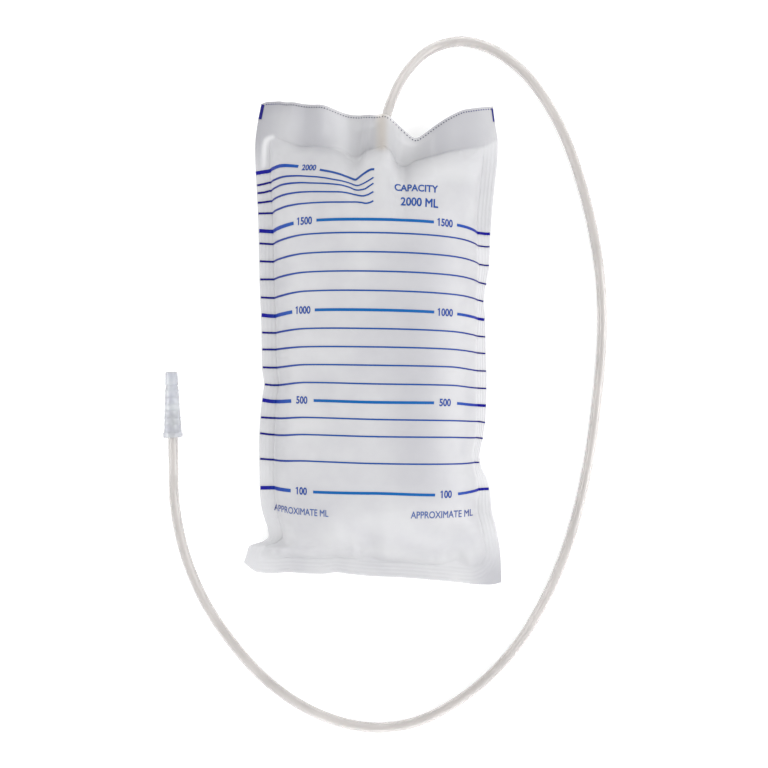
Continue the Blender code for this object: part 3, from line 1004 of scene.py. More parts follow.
@dataclass(frozen=True)
class MouldedFinish(ClearFinish):
    """Injection-moulded natural polyethylene: milky, a little waxy, cloudier where it is thick."""

    name: str = "Moulded_natural_polyethylene"
    pale: str = "#E6E9EB"
    dull: str = "#D3D4DD"
    roughness: float = 0.20
    ior: float = 1.51
    transmission: float = 0.60
    cloud: float = 0.008
    grain_depth: float = 0.00003


# Pieces

@dataclass
class FilmTones:
    """Painted shade and painted light on the films, and the welded header's grey: at their welds, folds and
    rims, and warmth over the tube.
    """

    # Past the header's border its grey, from the welded films and painted shade, fades out over this far
    header_fade: float = 0.0030
    # Down the left flange that grey, painted shade there, fades out slower, as (x, reach, added fade)
    flange_grey: Point3 = (-0.0748, 0.0022, 0.0340)
    # Soft folds down the header, as (x, half width, tone): painted shade where one is turned away, or
    # painted light below 0
    header_folds: tuple[Point3, ...] = (
        (-0.0800, 0.0230, 1.05), (-0.0560, 0.0200, 0.22), (-0.0415, 0.0160, 0.68),
        (-0.0205, 0.0085, -0.30), (-0.0035, 0.0120, 0.47), (0.0220, 0.0115, -0.43),
        (0.0430, 0.0130, 0.50), (0.0620, 0.0280, 0.76),
    )
    # Along its edge the header's left end gets more painted shade, as (x, reach, depth, tone)
    grey_end: Point4 = (-0.0560, 0.0160, 0.0120, 0.50)
    # Painted shade where the face is turned away a little right of the middle, as (x, half width, y, half
    # length, reach, tone)
    grey_face: tuple[float, ...] = (0.0270, 0.0370, -0.0150, 0.0700, 0.0300, 0.55)
    # Painted shade on the flat corner at the bottom right, as (x, y, reach)
    grey_corner: Point3 = (0.0850, -0.1600, 0.0300)
    # Painted light along the rims of the welds, fading out from the welds inwards
    rim_fade: float = 0.0030
    left_rim: float = 0.45
    # On the right flange the painted light is brightest in the middle, as (y, half length, reach, loss past
    # it)
    right_rim: Point4 = (-0.0160, 0.0760, 0.0200, 0.60)
    # Distances below the header's border at which the rims' painted light is full
    left_rim_start: float = 0.0340
    right_rim_start: float = 0.0140
    # Along the bottom weld the painted light is weaker than along the sides, but not at its left lobe
    bottom_haze: float = 0.85
    bottom_fade: float = 0.0380
    lobe_x: float = -0.0850
    lobe_fade: float = 0.0300
    # The rounded corner of the chamber catches the light along this line
    highlight: tuple[Point, ...] = (
        (-0.0724, 0.1180), (-0.0724, 0.1250), (-0.0722, 0.1315),
        (-0.0715, 0.1345), (-0.0700, 0.1365), (-0.0674, 0.1375),
    )
    highlight_reach: float = 0.0032
    # Under the header's border the chamber is lit from the tube's mouth on
    glow: float = 0.45
    glow_start: float = -0.0230
    glow_rise: float = 0.0070
    glow_depth: float = 0.0160
    glow_fade: float = 0.0140
    # The tube shows through the header from its edge down to about its border
    tube_shine: float = 0.70
    tube_shine_x: float = 0.0062
    tube_shine_width: float = 0.0062
    tube_shine_end: float = 0.0230
    tube_shine_fade: float = 0.0070

    def in_header(self, s: Spots) -> Floats:
        """How far places are in the header: 1 there, fading out past its border."""
        x, reach, run = self.flange_grey
        return fade(np.maximum(s.from_header, 0.0) / (self.header_fade + run * fade(s.x - x, reach)), 1.0)

    def folds(self, s: Spots) -> Floats:
        """Painted tone of the header's folds.

        Args:
            s: The places.

        Returns:
            Above 0 for painted shade where a fold is turned away, below 0 for painted light where it is
            lit.
        """
        x, reach, depth, tone = self.grey_end
        tones = tone * fade(s.x - x, reach) * fade(s.from_top, depth)
        for x, half_width, tone in self.header_folds:
            tones += tone * hump(s.x - x, half_width)
        return tones

    def grey(self, s: Spots) -> Floats:
        """How grey the film is: the welded header's grey with painted fold shade, and painted shade on its
        face and at the flat corner.

        Args:
            s: The places.

        Returns:
            Values from 0 to 1.
        """
        header = self.in_header(s) * np.clip(self.folds(s), 0.0, 1.0)
        x, y, reach = self.grey_corner
        corner = hump(np.hypot(s.x - x, s.y - y), reach)
        x, half_width, y, half_length, reach, tone = self.grey_face
        face = tone * hump(s.x - x, half_width) * fade(np.abs(s.y - y) - half_length, reach)
        return np.maximum(header, np.maximum(corner, face))

    def rims(self, s: Spots) -> Floats:
        """How much painted light the film gets along the side and bottom welds.

        Args:
            s: The places.

        Returns:
            Values from 0 to 1.
        """
        at_left = s.from_left < s.from_right
        y, half_length, reach, loss = self.right_rim
        right_rim = 1 - loss * (1 - fade(np.abs(s.y - y) - half_length, reach))
        beside = np.where(at_left, self.left_rim, right_rim)
        low = fade(np.maximum(s.from_bottom, 0.0), self.bottom_fade)
        low *= 1 - fade(s.x - self.lobe_x, self.lobe_fade)
        edge = np.minimum(np.minimum(s.from_left, s.from_right), s.from_bottom)
        rim = fade(np.maximum(edge, 0.0), self.rim_fade) * beside * (1 - self.bottom_haze * low)
        start = np.where(at_left, self.left_rim_start, self.right_rim_start)
        return rim * fade(np.maximum(1 - s.from_header / start, 0.0), 1.0)

    def corner_light(self, s: Spots) -> Floats:
        """How far places lie in the corner's highlight.

        Args:
            s: The places.

        Returns:
            Values from 0 to 1.
        """
        nearest = np.full_like(s.x, np.inf)
        for (x0, y0), (x1, y1) in zip(self.highlight, self.highlight[1:]):
            run_x, run_y = x1 - x0, y1 - y0
            along = np.clip(((s.x - x0) * run_x + (s.y - y0) * run_y) / (run_x**2 + run_y**2), 0.0, 1.0)
            nearest = np.minimum(nearest, np.hypot(s.x - x0 - along * run_x, s.y - y0 - along * run_y))
        return hump(nearest, self.highlight_reach)

    def clear(self, s: Spots) -> Floats:
        """How much painted light the film gets, at its rims, corner, lit folds and under the header's
        border.

        Args:
            s: The places.

        Returns:
            Values from 0 to 1.
        """
        in_header = self.in_header(s)
        glow = fade(s.from_header - self.glow_depth, self.glow_fade) * (1 - in_header)
        glow *= 1 - fade(s.x - self.glow_start, self.glow_rise)
        lit_folds = in_header * np.clip(-self.folds(s), 0.0, 1.0)
        return np.maximum.reduce((self.rims(s), self.corner_light(s), lit_folds, self.glow * glow))

    def warm(self, s: Spots) -> Floats:
        """How warm the film is where the tube shows through it."""
        over = hump(s.x - self.tube_shine_x, self.tube_shine_width)
        return self.tube_shine * (over * fade(s.from_top - self.tube_shine_end, self.tube_shine_fade))


@dataclass
class Films:
    """The two welded films and the two leaves of the non-return valve between them."""

    form: BagForm
    tones: FilmTones
    # Cells in a side weld, across the chamber, along it and in the header
    front_cells: Cells = (12, 172, 178, 30)
    back_cells: Cells = (6, 90, 110, 14)
    # Cells across a valve leaf, down it in the chamber and up it in the header
    leaf_cells: tuple[int, int, int] = (48, 18, 16)
    crowds_across: tuple[Point3, ...] = ((0.0, 0.12, 1.5), (0.52, 0.20, 2.2), (1.0, 0.12, 1.5))
    crowds_along: tuple[Point3, ...] = ((0.0, 0.14, 1.0), (1.0, 0.18, 2.2))
    valve_taper: float = 0.0035

    def sheet(
        self, name: str, stations_used: tuple[Floats, Floats], side: int, thickness: float,
        height: Callable[[Spots], Floats], taper: float = 0.0,
    ) -> Piece:
        """Lay a grid over stations, shape it and give it its tones and its thickness.

        Args:
            name: The piece's name.
            stations_used: Stations across the bag and along it.
            side: 1 to thicken upwards, -1 downwards.
            thickness: The film's thickness.
            height: Gives the sheet's height at places in plan.
            taper: How much narrower a leaf is on each side at its free end.

        Returns:
            The film or leaf.
        """
        a, b = stations_used
        piece = add_grid(name, len(a) - 1, len(b) - 1)
        points = read_points(piece.data)
        i = np.rint((points[:, 0] + 0.5) * (len(a) - 1)).astype(int)
        j = np.rint((points[:, 1] + 0.5) * (len(b) - 1)).astype(int)
        s = self.form.spots(a[i], b[j])
        # The tones: grey with painted shade, painted light, and warmth over the tube
        tones = ((GREY_AND_SHADE_TONE, self.tones.grey), (PAINTED_LIGHT_TONE, self.tones.clear), (TUBE_TONE, self.tones.warm))
        for label, tone in tones:
            piece.data.attributes.new(label, "FLOAT", "POINT").data.foreach_set("value", tone(s))
        if taper:
            down = np.clip(s.from_header, 0.0, None) / self.form.valve_drop
            s.x = s.x - (s.x - self.form.valve_x) * 2 / self.form.valve_width * taper * down
        write_points(piece.data, np.stack((s.x, s.y, height(s)), axis=1))
        if side < 0:
            select_only(piece)
            bpy.ops.object.mode_set(mode="EDIT")
            bpy.ops.mesh.select_all(action="SELECT")
            bpy.ops.mesh.flip_normals()
            bpy.ops.object.mode_set(mode="OBJECT")
        thicken(piece, thickness)
        return piece

    def film(self, name: str, cells: Cells, side: int, height: Callable[[Spots], Floats]) -> Piece:
        """Lay one film over the whole bag.

        Args:
            name: The piece's name.
            cells: Its cells in a side weld, across the chamber, along it and in the header.
            side: 1 to thicken upwards, -1 downwards.
            height: Gives the film's height at places in plan.

        Returns:
            The film.
        """
        weld, across, along, header = cells
        a = stations(weld, across, weld, self.crowds_across)
        b = stations(weld, along, header, self.crowds_along)
        return self.sheet(name, (a, b), side, self.form.film, height)

    def front(self) -> Piece:
        """Build the front film.

        Returns:
            The film, which the print is laid on.
        """
        piece = self.film("film_front", self.front_cells, 1, self.form.front_height)
        finish = FilmFinish("Calendered_clear_PVC_film", "#E3E3E5", "#D6D6DA", alpha=0.50)
        dress(piece, finish.make(), sharp=60)
        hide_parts("front_film")
        settle(piece)
        return piece

    def back(self) -> Piece:
        """Build the back film.

        Returns:
            The film, which lies on the floor.
        """
        piece = self.film("film_back", self.back_cells, -1, self.form.back_height)
        finish = FilmFinish("Calendered_white_PVC_film", "#EAEAEB", "#E0E0E2")
        dress(piece, finish.make(), sharp=60)
        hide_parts("back_film")
        settle(piece)
        return piece

    def leaf(self, sign: int) -> Piece:
        """Build one leaf of the non-return valve, which narrows towards its free end.

        Args:
            sign: 1 for the front leaf, -1 for the back one.

        Returns:
            The leaf.
        """
        form = self.form
        across, down, up = self.leaf_cells
        low = form.chamber_share_of(form.valve_x - form.valve_width / 2)
        high = form.chamber_share_of(form.valve_x + form.valve_width / 2)
        chamber_length = form.length - form.bottom_weld - form.header
        a = np.linspace(1 + low, 1 + high, across + 1)
        b = np.concatenate((
            np.linspace(2 - form.valve_drop / chamber_length, 2, down + 1)[:-1],
            np.linspace(2, 2 + form.valve_top_share, up + 1),
        ))
        side = "front" if sign > 0 else "back"
        piece = self.sheet(
            f"valve_leaf_{side}", (a, b), sign, form.leaf,
            lambda s: form.leaf_height(s, sign), self.valve_taper,
        )
        finish = FilmFinish(f"Soft_valve_film_{side}", "#F2F2F3", "#E6E6E9", alpha=0.35)
        dress(piece, finish.make(), sharp=60)
        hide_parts(f"valve_{side}_leaf")
        settle(piece)
        return piece


class Ink(Enum):
    """Weight of a printed line, with its width in metres."""

    THICK = 0.0022
    MEDIUM = 0.0019
    THIN = 0.0012


@dataclass(frozen=True)
class Graduation:
    """One printed graduation: its volume, and its y at seven places across the bag, in millimetres."""

    volume: int
    heights: tuple[float, ...]
    number_gaps: tuple[float, ...] = ()


@dataclass(frozen=True)
class Lettering:
    """A printed word or number, its middle in metres, its turn in degrees anticlockwise."""

    text: str
    x: float
    y: float
    size: float
    turn: float
    # How far the letters are narrowed, and how far their strokes are widened
    squeeze: float
    bold: float = 0.00020


@dataclass
class Printing:
    """Everything printed on the front film, laid on it from straight above."""

    film: Piece
    form: BagForm
    # The seven places that every graduation's heights are given at, in millimetres
    places: tuple[float, ...] = (-75.0, -65.5, -42.5, 0.0, 50.0, 69.5, 75.5)
    graduations: tuple[Graduation, ...] = (
        Graduation(1500, (74.4, 73.9, 75.4, 74.7, 74.1, 73.1, 72.4), (-42.9, 46.4)),
        Graduation(1400, (66.0, 65.5, 67.1, 66.5, 65.7, 64.5, 63.8)),
        Graduation(1300, (54.1, 53.8, 55.2, 54.7, 53.7, 52.2, 51.3)),
        Graduation(1200, (42.0, 42.0, 43.3, 42.7, 41.7, 40.2, 38.9)),
        Graduation(1100, (30.0, 29.6, 31.3, 30.7, 29.6, 28.3, 26.9)),
        Graduation(1000, (18.3, 17.5, 19.2, 18.6, 17.4, 15.8, 15.0), (-44.2, 46.7)),
        Graduation(900, (6.6, 6.3, 7.6, 7.0, 5.9, 4.2, 3.6)),
        Graduation(800, (-4.7, -4.8, -4.0, -4.5, -5.5, -7.0, -7.5)),
        Graduation(700, (-16.6, -16.9, -15.4, -16.0, -16.8, -18.9, -19.2)),
        Graduation(600, (-27.6, -28.6, -26.8, -27.7, -28.6, -30.5, -30.8)),
        Graduation(500, (-38.2, -39.5, -38.3, -39.3, -40.0, -41.9, -42.3), (-45.2, 46.8)),
        Graduation(400, (-50.0, -50.5, -49.2, -50.1, -51.3, -52.7, -53.6)),
        Graduation(300, (-60.7, -61.6, -60.2, -61.0, -62.1, -63.6, -64.3)),
        Graduation(200, (-77.7, -78.3, -77.2, -78.1, -79.4, -80.1, -80.2)),
        Graduation(100, (-97.1, -97.0, -97.0, -97.1, -99.0, -98.2, -97.8), (-45.7, 47.6)),
    )
    # The upper graduations end beside the valve, and follow the gather there: x and y in millimetres
    upper: tuple[tuple[int, tuple[Point, ...]], ...] = (
        (2000, (
            (-77.9, 112.8), (-73.3, 113.6), (-68.8, 114.3), (-67.4, 114.7), (-64.6, 114.6), (-61.1, 114.8),
            (-57.7, 114.5), (-54.7, 114.0), (-51.6, 113.5), (-48.2, 112.8), (-40.2, 110.7), (-32.3, 108.5),
            (-26.0, 106.9), (-18.3, 104.6), (-14.5, 103.5), (-11.8, 102.3), (-10.3, 101.8), (-9.3, 102.3),
            (-7.6, 103.6), (-4.8, 105.4), (-1.9, 107.2), (0.0, 107.9), (1.6, 107.8),
        )),
        (1900, (
            (-77.0, 104.7), (-72.4, 105.7), (-67.6, 106.7), (-63.4, 106.5), (-59.9, 106.6), (-56.3, 106.5),
            (-51.2, 106.1), (-46.7, 105.6), (-42.2, 104.8), (-35.3, 103.7), (-29.5, 102.5), (-23.8, 101.1),
            (-18.2, 100.0), (-13.8, 99.0), (-10.9, 97.7), (-8.6, 97.0), (-5.5, 97.8), (-1.9, 99.7),
            (1.1, 101.8),
        )),
        (1800, (
            (-76.8, 99.5), (-72.4, 100.1), (-67.6, 101.1), (-63.4, 101.1), (-60.1, 101.4), (-55.8, 101.3),
            (-51.1, 101.1), (-45.1, 100.6), (-39.1, 99.7), (-29.5, 98.6), (-23.7, 97.8), (-18.1, 96.9),
            (-13.9, 95.8), (-10.3, 94.1), (-8.0, 93.6), (-4.6, 93.9), (-1.8, 95.6), (1.1, 97.7),
        )),
        (1700, (
            (-76.6, 93.1), (-71.8, 93.6), (-67.3, 94.2), (-63.0, 94.1), (-58.0, 94.3), (-54.2, 94.4),
            (-49.5, 94.4), (-41.9, 94.0), (-26.5, 92.8), (-19.4, 92.4), (-13.9, 91.6), (-9.6, 90.4),
            (-5.4, 89.4), (-2.7, 90.0), (1.1, 92.0),
        )),
        (1600, (
            (-76.2, 86.0), (-71.5, 86.1), (-66.6, 86.2), (-60.9, 86.2), (-54.8, 86.6), (-48.0, 86.7),
            (-41.9, 86.6), (-26.5, 86.1), (-18.0, 85.8), (-11.0, 85.8), (-6.9, 85.3), (-3.5, 84.6),
            (-1.3, 85.0), (1.1, 86.1),
        )),
    )
    top_volume: int = 2000
    upper_number_gap: float = -40.4
    # Half the gap that a number stands in, in millimetres, and in metres how much later the line goes on
    number_room: float = 7.2
    number_lag: float = 0.0008
    line_end: float = 0.0006
    line_step: float = 0.0006
    # Lines wider than this follow the film in three strips
    wide_line: float = 0.002
    # The lines are widest on the left flange, up to here, and thinner on the blown-up face
    flange_x: float = -0.0620
    flange_reach: float = 0.0250
    flange_weight: float = 1.13
    thinning: float = 0.30
    number_size: float = 0.0066
    number_turn: float = -1.3
    number_squeeze: float = 0.78
    # The topmost number follows its line: its y, its size beside the others', and its turn
    top_number: Point3 = (0.1109, 0.92, -6.0)
    captions: tuple[Lettering, ...] = (
        Lettering("CAPACITY", 0.0280, 0.0960, 0.0068, -2.0, 0.86),
        Lettering("2000 ML", 0.0300, 0.0862, 0.0078, -2.0, 0.86),
    )
    units: tuple[Lettering, ...] = (
        Lettering("APPROXIMATE ML", -0.0467, -0.1105, 0.0064, -1.3, 0.72, 0.00010),
        Lettering("APPROXIMATE ML", 0.0455, -0.1120, 0.0064, -1.3, 0.79, 0.00010),
    )
    # The font's 1 is a bare stroke: its flag runs from its top to this far left and down
    flag: Point = (0.0009, 0.0010)
    flag_width: float = 0.0006
    # The letters are cut finer, so that they follow the film over the chamber's steep border
    letter_cuts: int = 2
    # The dotted line: each dot, their number, their first and last share of the edge, and their depth
    dot_radius: float = 0.00042
    dot_sides: int = 8
    dot_count: int = 90
    dot_ends: Point = (0.012, 0.988)
    dot_depth: float = 0.0019
    # The left register bar follows the edge between two ys, the right one runs between two places
    left_bar: Point = (0.1626, 0.1519)
    left_bar_inset: float = 0.0013
    left_bar_width: float = 0.0022
    right_bar: tuple[Point, Point] = ((0.0807, 0.1583), (0.0818, 0.1490))
    right_bar_width: float = 0.0011
    bar_points: tuple[int, int] = (20, 16)
    lift: float = 0.00007
    ink_depth: float = 0.00005

    def __post_init__(self) -> None:
        """Prepare the film's surface for laying print on it."""
        self.surface = BVHTree.FromObject(self.film, bpy.context.evaluated_depsgraph_get())

    def height(self, x: float, y: float) -> float:
        """Height of the film's top at a place in plan.

        Args:
            x: The place.
            y: The place.

        Returns:
            The height.
        """
        hit = self.surface.ray_cast(Vector((x, y, 1.0)), Vector((0.0, 0.0, -1.0)))[0]
        return self.form.weld_height if hit is None else hit.z

    def lay(self, piece: Piece) -> None:
        """Drop a piece that is drawn flat on to the film.

        Args:
            piece: A mesh whose heights are counted from the film.
        """
        points = read_points(piece.data)
        for point in points:
            point[2] += self.height(point[0], point[1]) + self.lift
        write_points(piece.data, points)

    def ribbon(self, name: str, centre: Floats, width: float | Floats) -> Piece:
        """Lay a printed line along a path.

        Args:
            name: The piece's name.
            centre: The path's points in plan.
            width: The line's width, or its width at each point.

        Returns:
            The line.
        """
        width = np.broadcast_to(width, len(centre))
        along = np.gradient(centre, axis=0)
        along /= np.linalg.norm(along, axis=1, keepdims=True)
        side = np.stack((-along[:, 1], along[:, 0]), axis=1)
        cells = 3 if width.max() > self.wide_line else 1
        piece = add_grid(name, len(centre) - 1, cells)
        points = read_points(piece.data)
        i = np.rint((points[:, 0] + 0.5) * (len(centre) - 1)).astype(int)
        plan = centre[i] + side[i] * (points[:, 1] * width[i])[:, None]
        write_points(piece.data, np.column_stack((plan, np.zeros(len(plan)))))
        self.lay(piece)
        thicken(piece, self.ink_depth)
        return piece

    def line(self, curve: SmoothCurve, start: float, end: float, ink: Ink) -> Piece:
        """Lay one run of a graduation.

        Args:
            curve: Its y over x, in millimetres.
            start: Its first x, in metres.
            end: Its last x, in metres.
            ink: The line's weight.

        Returns:
            The line.
        """
        x = np.linspace(start, end, max(4, round((end - start) / self.line_step)))
        weight = self.flange_weight - self.thinning * (1 - fade(x - self.flange_x, self.flange_reach))
        return self.ribbon("run", np.column_stack((x, curve(x * 1000) / 1000)), ink.value * weight)

    def curve(self, graduation: Graduation) -> SmoothCurve:
        """A graduation's y over x, both in millimetres."""
        return SmoothCurve(tuple(zip(self.places, graduation.heights)))

    def lines(self) -> tuple[Piece, Piece]:
        """Lay every graduation line.

        Returns:
            The thick lines, joined, and the thin ones, joined.
        """
        runs, fine = [], []
        room = self.number_room / 1000
        for graduation in self.graduations:
            curve = self.curve(graduation)
            y = curve(np.array(0.0)) / 1000
            start = float(self.form.left_edge(y)) + self.line_end
            end = float(self.form.right_edge(y)) - self.line_end
            for gap in graduation.number_gaps:
                runs.append(self.line(curve, start, gap / 1000 - room, Ink.THICK))
                start = gap / 1000 + room + self.number_lag
            if graduation.number_gaps:
                runs.append(self.line(curve, start, end, Ink.THICK))
            else:
                fine.append(self.line(curve, start, end, Ink.THIN))
        for volume, points in self.upper:
            curve = SmoothCurve(points)
            start, end = points[0][0] / 1000, points[-1][0] / 1000
            if volume == self.top_volume:
                gap = self.upper_number_gap / 1000
                runs.append(self.line(curve, start, gap - room, Ink.THICK))
                fine.append(self.line(curve, gap + room, end, Ink.MEDIUM))
            else:
                fine.append(self.line(curve, start, end, Ink.THIN))
        return join(runs, "graduation_lines"), join(fine, "fine_graduation_lines")

    def word(self, lettering: Lettering) -> Piece:
        """Lay a word or number centred on its place.

        Args:
            lettering: What it says, and how.

        Returns:
            The word.
        """
        bpy.ops.object.select_all(action="DESELECT")
        bpy.ops.object.text_add(location=(0.0, 0.0, 0.0))
        letters = bpy.context.active_object.data
        letters.body = lettering.text
        letters.size = lettering.size
        letters.align_x = "CENTER"
        letters.align_y = "CENTER"
        letters.extrude = self.ink_depth / 2
        letters.bevel_depth = lettering.bold
        letters.bevel_resolution = 0
        letters.resolution_u = 4
        bpy.ops.object.convert(target="MESH")
        piece = bpy.context.active_object
        flatten = self.ink_depth / (self.ink_depth + 2 * lettering.bold)
        piece.scale = (lettering.squeeze, 1.0, flatten)
        bpy.ops.object.transform_apply(location=False, rotation=False, scale=True)
        bpy.ops.object.mode_set(mode="EDIT")
        bpy.ops.mesh.select_all(action="SELECT")
        bpy.ops.mesh.subdivide(number_cuts=self.letter_cuts)
        bpy.ops.object.mode_set(mode="OBJECT")
        points = read_points(piece.data)
        half = self.flag_width / 2
        corner = complex(points[:, 0].min() + half, points[:, 1].max() - half)
        turn = math.radians(lettering.turn)
        piece.rotation_euler = (0.0, 0.0, turn)
        piece.location = (lettering.x, lettering.y, 0.0)
        bpy.ops.object.transform_apply(location=True, rotation=True, scale=False)
        self.lay(piece)
        if lettering.text.startswith("1"):
            run = corner - np.linspace(0.0, 1.0, 3) * complex(*self.flag)
            run = complex(lettering.x, lettering.y) + run * np.exp(1j * turn)
            flag = self.ribbon("flag", np.column_stack((run.real, run.imag)), self.flag_width)
            piece = join([piece, flag], "word")
        return piece

    def words(self, name: str, letterings: Iterable[Lettering]) -> Piece:
        """Lay several words as one piece."""
        return join([self.word(lettering) for lettering in letterings], name)

    def numbers(self) -> list[Lettering]:
        """List the numbers in the gaps of the thick lines.

        Returns:
            The numbers.
        """
        found = []
        for graduation in self.graduations:
            curve = self.curve(graduation)
            for gap in graduation.number_gaps:
                place = (gap / 1000, float(curve(np.array(gap))) / 1000)
                drawn = (self.number_size, self.number_turn, self.number_squeeze)
                found.append(Lettering(str(graduation.volume), *place, *drawn))
        y, share, turn = self.top_number
        size = self.number_size * share
        place = (self.upper_number_gap / 1000, y)
        found.append(Lettering(str(self.top_volume), *place, size, turn, self.number_squeeze))
        return found

    def dots(self) -> Piece:
        """Lay the fine dotted line that runs along the header's edge.

        Returns:
            The dots, joined.
        """
        bpy.ops.object.select_all(action="DESELECT")
        bpy.ops.mesh.primitive_circle_add(vertices=self.dot_sides, radius=self.dot_radius, fill_type="NGON")
        pattern = bpy.context.active_object
        thicken(pattern, self.ink_depth)
        width, weld = self.form.width, self.form.side_weld
        share = np.linspace(*self.dot_ends, self.dot_count)
        b = 3 - self.dot_depth / self.form.header_depth(share)
        low = share * width / weld
        high = 3 - (1 - share) * width / weld
        chamber = 1 + (share * width - weld) / (width - 2 * weld)
        a = np.where(low < 1, low, np.where(high > 2, high, chamber))
        spots = self.form.spots(a, b)
        made = []
        for x, y in zip(spots.x, spots.y):
            dot = pattern.copy()
            dot.data = pattern.data.copy()
            bpy.context.scene.collection.objects.link(dot)
            points = read_points(dot.data)
            points += (x, y, self.height(x, y) + self.lift)
            write_points(dot.data, points)
            made.append(dot)
        bpy.data.objects.remove(pattern)
        return join(made, "header_dots")

    def corner_bars(self) -> Piece:
        """Lay the two short register bars at the header's corners.

        Returns:
            The bars, joined.
        """
        left_points, right_points = self.bar_points
        y = np.linspace(*self.left_bar, left_points)
        left = self.ribbon(
            "bar", np.column_stack((self.form.left_edge(y) + self.left_bar_inset, y)), self.left_bar_width
        )
        right = self.ribbon("bar", np.linspace(*self.right_bar, right_points), self.right_bar_width)
        return join([left, right], "corner_bars")

    def build(self) -> None:
        """Lay all of the print."""
        ink = InkFinish().make()
        fine = InkFinish("Screen_printed_fine_ink", "#1E4890", "#1C3A8C", "#17106F").make()
        pale = InkFinish("Screen_printed_pale_ink", "#4A6096", "#465890", "#34387E").make()
        dark = InkFinish("Screen_printed_dark_ink", "#2C2E48", "#2A2C48", "#1A1670").make()
        thick_lines, fine_lines = self.lines()
        for piece, material in (
            (thick_lines, ink),
            (fine_lines, fine),
            (self.words("graduation_numbers", self.numbers()), fine),
            (self.words("plain_captions", self.captions), fine),
            (self.words("scale_units", self.units), pale),
            (self.dots(), dark),
            (self.corner_bars(), dark),
        ):
            dress(piece, material, sharp=40)
            settle(piece)


@dataclass
class Connector:
    """The stepped cone at the tube's far end: one moulding, lying on its collar and its nose."""

    length: float = 0.0446
    base_x: float = -0.13535
    base_y: float = -0.0641
    turn: float = math.radians(2.3)
    nose_length: float = 0.0087
    nose_tip_radius: float = 0.00395
    nose_base_radius: float = 0.00435
    neck_radius: float = 0.00375
    step_count: int = 7
    step_height: float = 0.00045
    first_step_radius: float = 0.00410
    last_step_radius: float = 0.00540
    collar_radius: float = 0.0064
    collar_length: float = 0.0037
    bore_radius: float = 0.0022
    socket_depth: float = 0.0180
    socket_clearance: float = 0.0003
    edge_break: float = 0.0003
    floor_clearance: float = 0.0001
    tube_diameter: float = 0.0065
    sides: int = 72

    def __post_init__(self) -> None:
        """Work out how it lies."""
        self.tilt = math.asin((self.collar_radius - self.nose_tip_radius) / self.length)
        self.rotation = Euler((-math.pi / 2 - self.tilt, 0.0, self.turn))
        self.axis = self.rotation.to_matrix() @ Vector((0.0, 0.0, 1.0))
        lift = self.collar_radius * math.cos(self.tilt) + self.collar_length * math.sin(self.tilt)
        self.base = Vector((self.base_x, self.base_y, lift + self.floor_clearance))

    def profile(self) -> list[Point]:
        """Radius and height above the base, up the bore and down the stepped outside.

        Returns:
            The corners, from the socket's mouth round to the collar's lower edge.
        """
        bore, nose = self.bore_radius, self.nose_tip_radius
        socket = self.tube_diameter / 2 + self.socket_clearance
        top, steps_top = self.length, self.length - self.nose_length
        pitch = (steps_top - self.collar_length) / self.step_count
        # Each corner is a radius and a height, and how many edge breaks it stands off them
        corners = [
            (socket, 0.0, 1, 0), (socket, 0.0, 0, 1), (socket, self.socket_depth, 0, 0),
            (bore, self.socket_depth, 0, 1), (bore, top, 0, -1), (bore, top, 1, 0),
            (nose, top, -2, 0), (nose, top, -0.6, -0.3), (nose, top, 0, -1.2),
            (self.nose_base_radius, steps_top, 0, 1), (self.nose_base_radius, steps_top, -0.5, 0),
        ]
        for step in range(self.step_count):
            share = step / (self.step_count - 1)
            root = self.first_step_radius + (self.last_step_radius - self.first_step_radius) * share
            high = steps_top - pitch * step
            out, low = root + self.step_height, high - pitch
            corners.append((root if step else self.neck_radius, high, 0, -1))
            corners += [(out, low, -0.3, 1.6), (out, low, 0, 1), (out, low, -0.3, 0.2)]
        out, high = self.collar_radius, self.collar_length
        corners += [(out, high, -1.5, -1), (out, high, -0.5, -1.3), (out, high, 0, -2.2)]
        corners += [(out, 0.0, 0, 1.4), (out, 0.0, -0.4, 0.4), (out, 0.0, -1.4, 0)]
        small = self.edge_break
        return [(radius + small * across, height + small * up) for radius, height, across, up in corners]

    def build(self) -> Piece:
        """Build the connector by drawing one ring out along its profile.

        Returns:
            The connector.
        """
        corners = self.profile()
        radius, height = corners[0]
        bpy.ops.object.select_all(action="DESELECT")
        bpy.ops.mesh.primitive_circle_add(vertices=self.sides, radius=radius, location=(0.0, 0.0, 0.0))
        piece = bpy.context.active_object
        piece.name = "stepped_connector"
        piece.data.name = "stepped_connector"
        bpy.ops.object.mode_set(mode="EDIT")
        bpy.ops.mesh.select_all(action="SELECT")
        for next_radius, next_height in corners[1:] + corners[:1]:
            step = (0.0, 0.0, next_height - height)
            bpy.ops.mesh.extrude_region_move(TRANSFORM_OT_translate={"value": step})
            scale = next_radius / radius
            bpy.ops.transform.resize(value=(scale, scale, 1.0), center_override=(0.0, 0.0, next_height))
            radius, height = next_radius, next_height
        bpy.ops.mesh.select_all(action="SELECT")
        bpy.ops.mesh.remove_doubles(threshold=1e-6)
        bpy.ops.mesh.normals_make_consistent(inside=False)
        bpy.ops.object.mode_set(mode="OBJECT")
        piece.rotation_euler = self.rotation
        piece.location = self.base
        select_only(piece)
        bpy.ops.object.transform_apply(location=True, rotation=True, scale=True)
        dress(piece, MouldedFinish().make(), sharp=35)
        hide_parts("connector")
        settle(piece)
        return piece


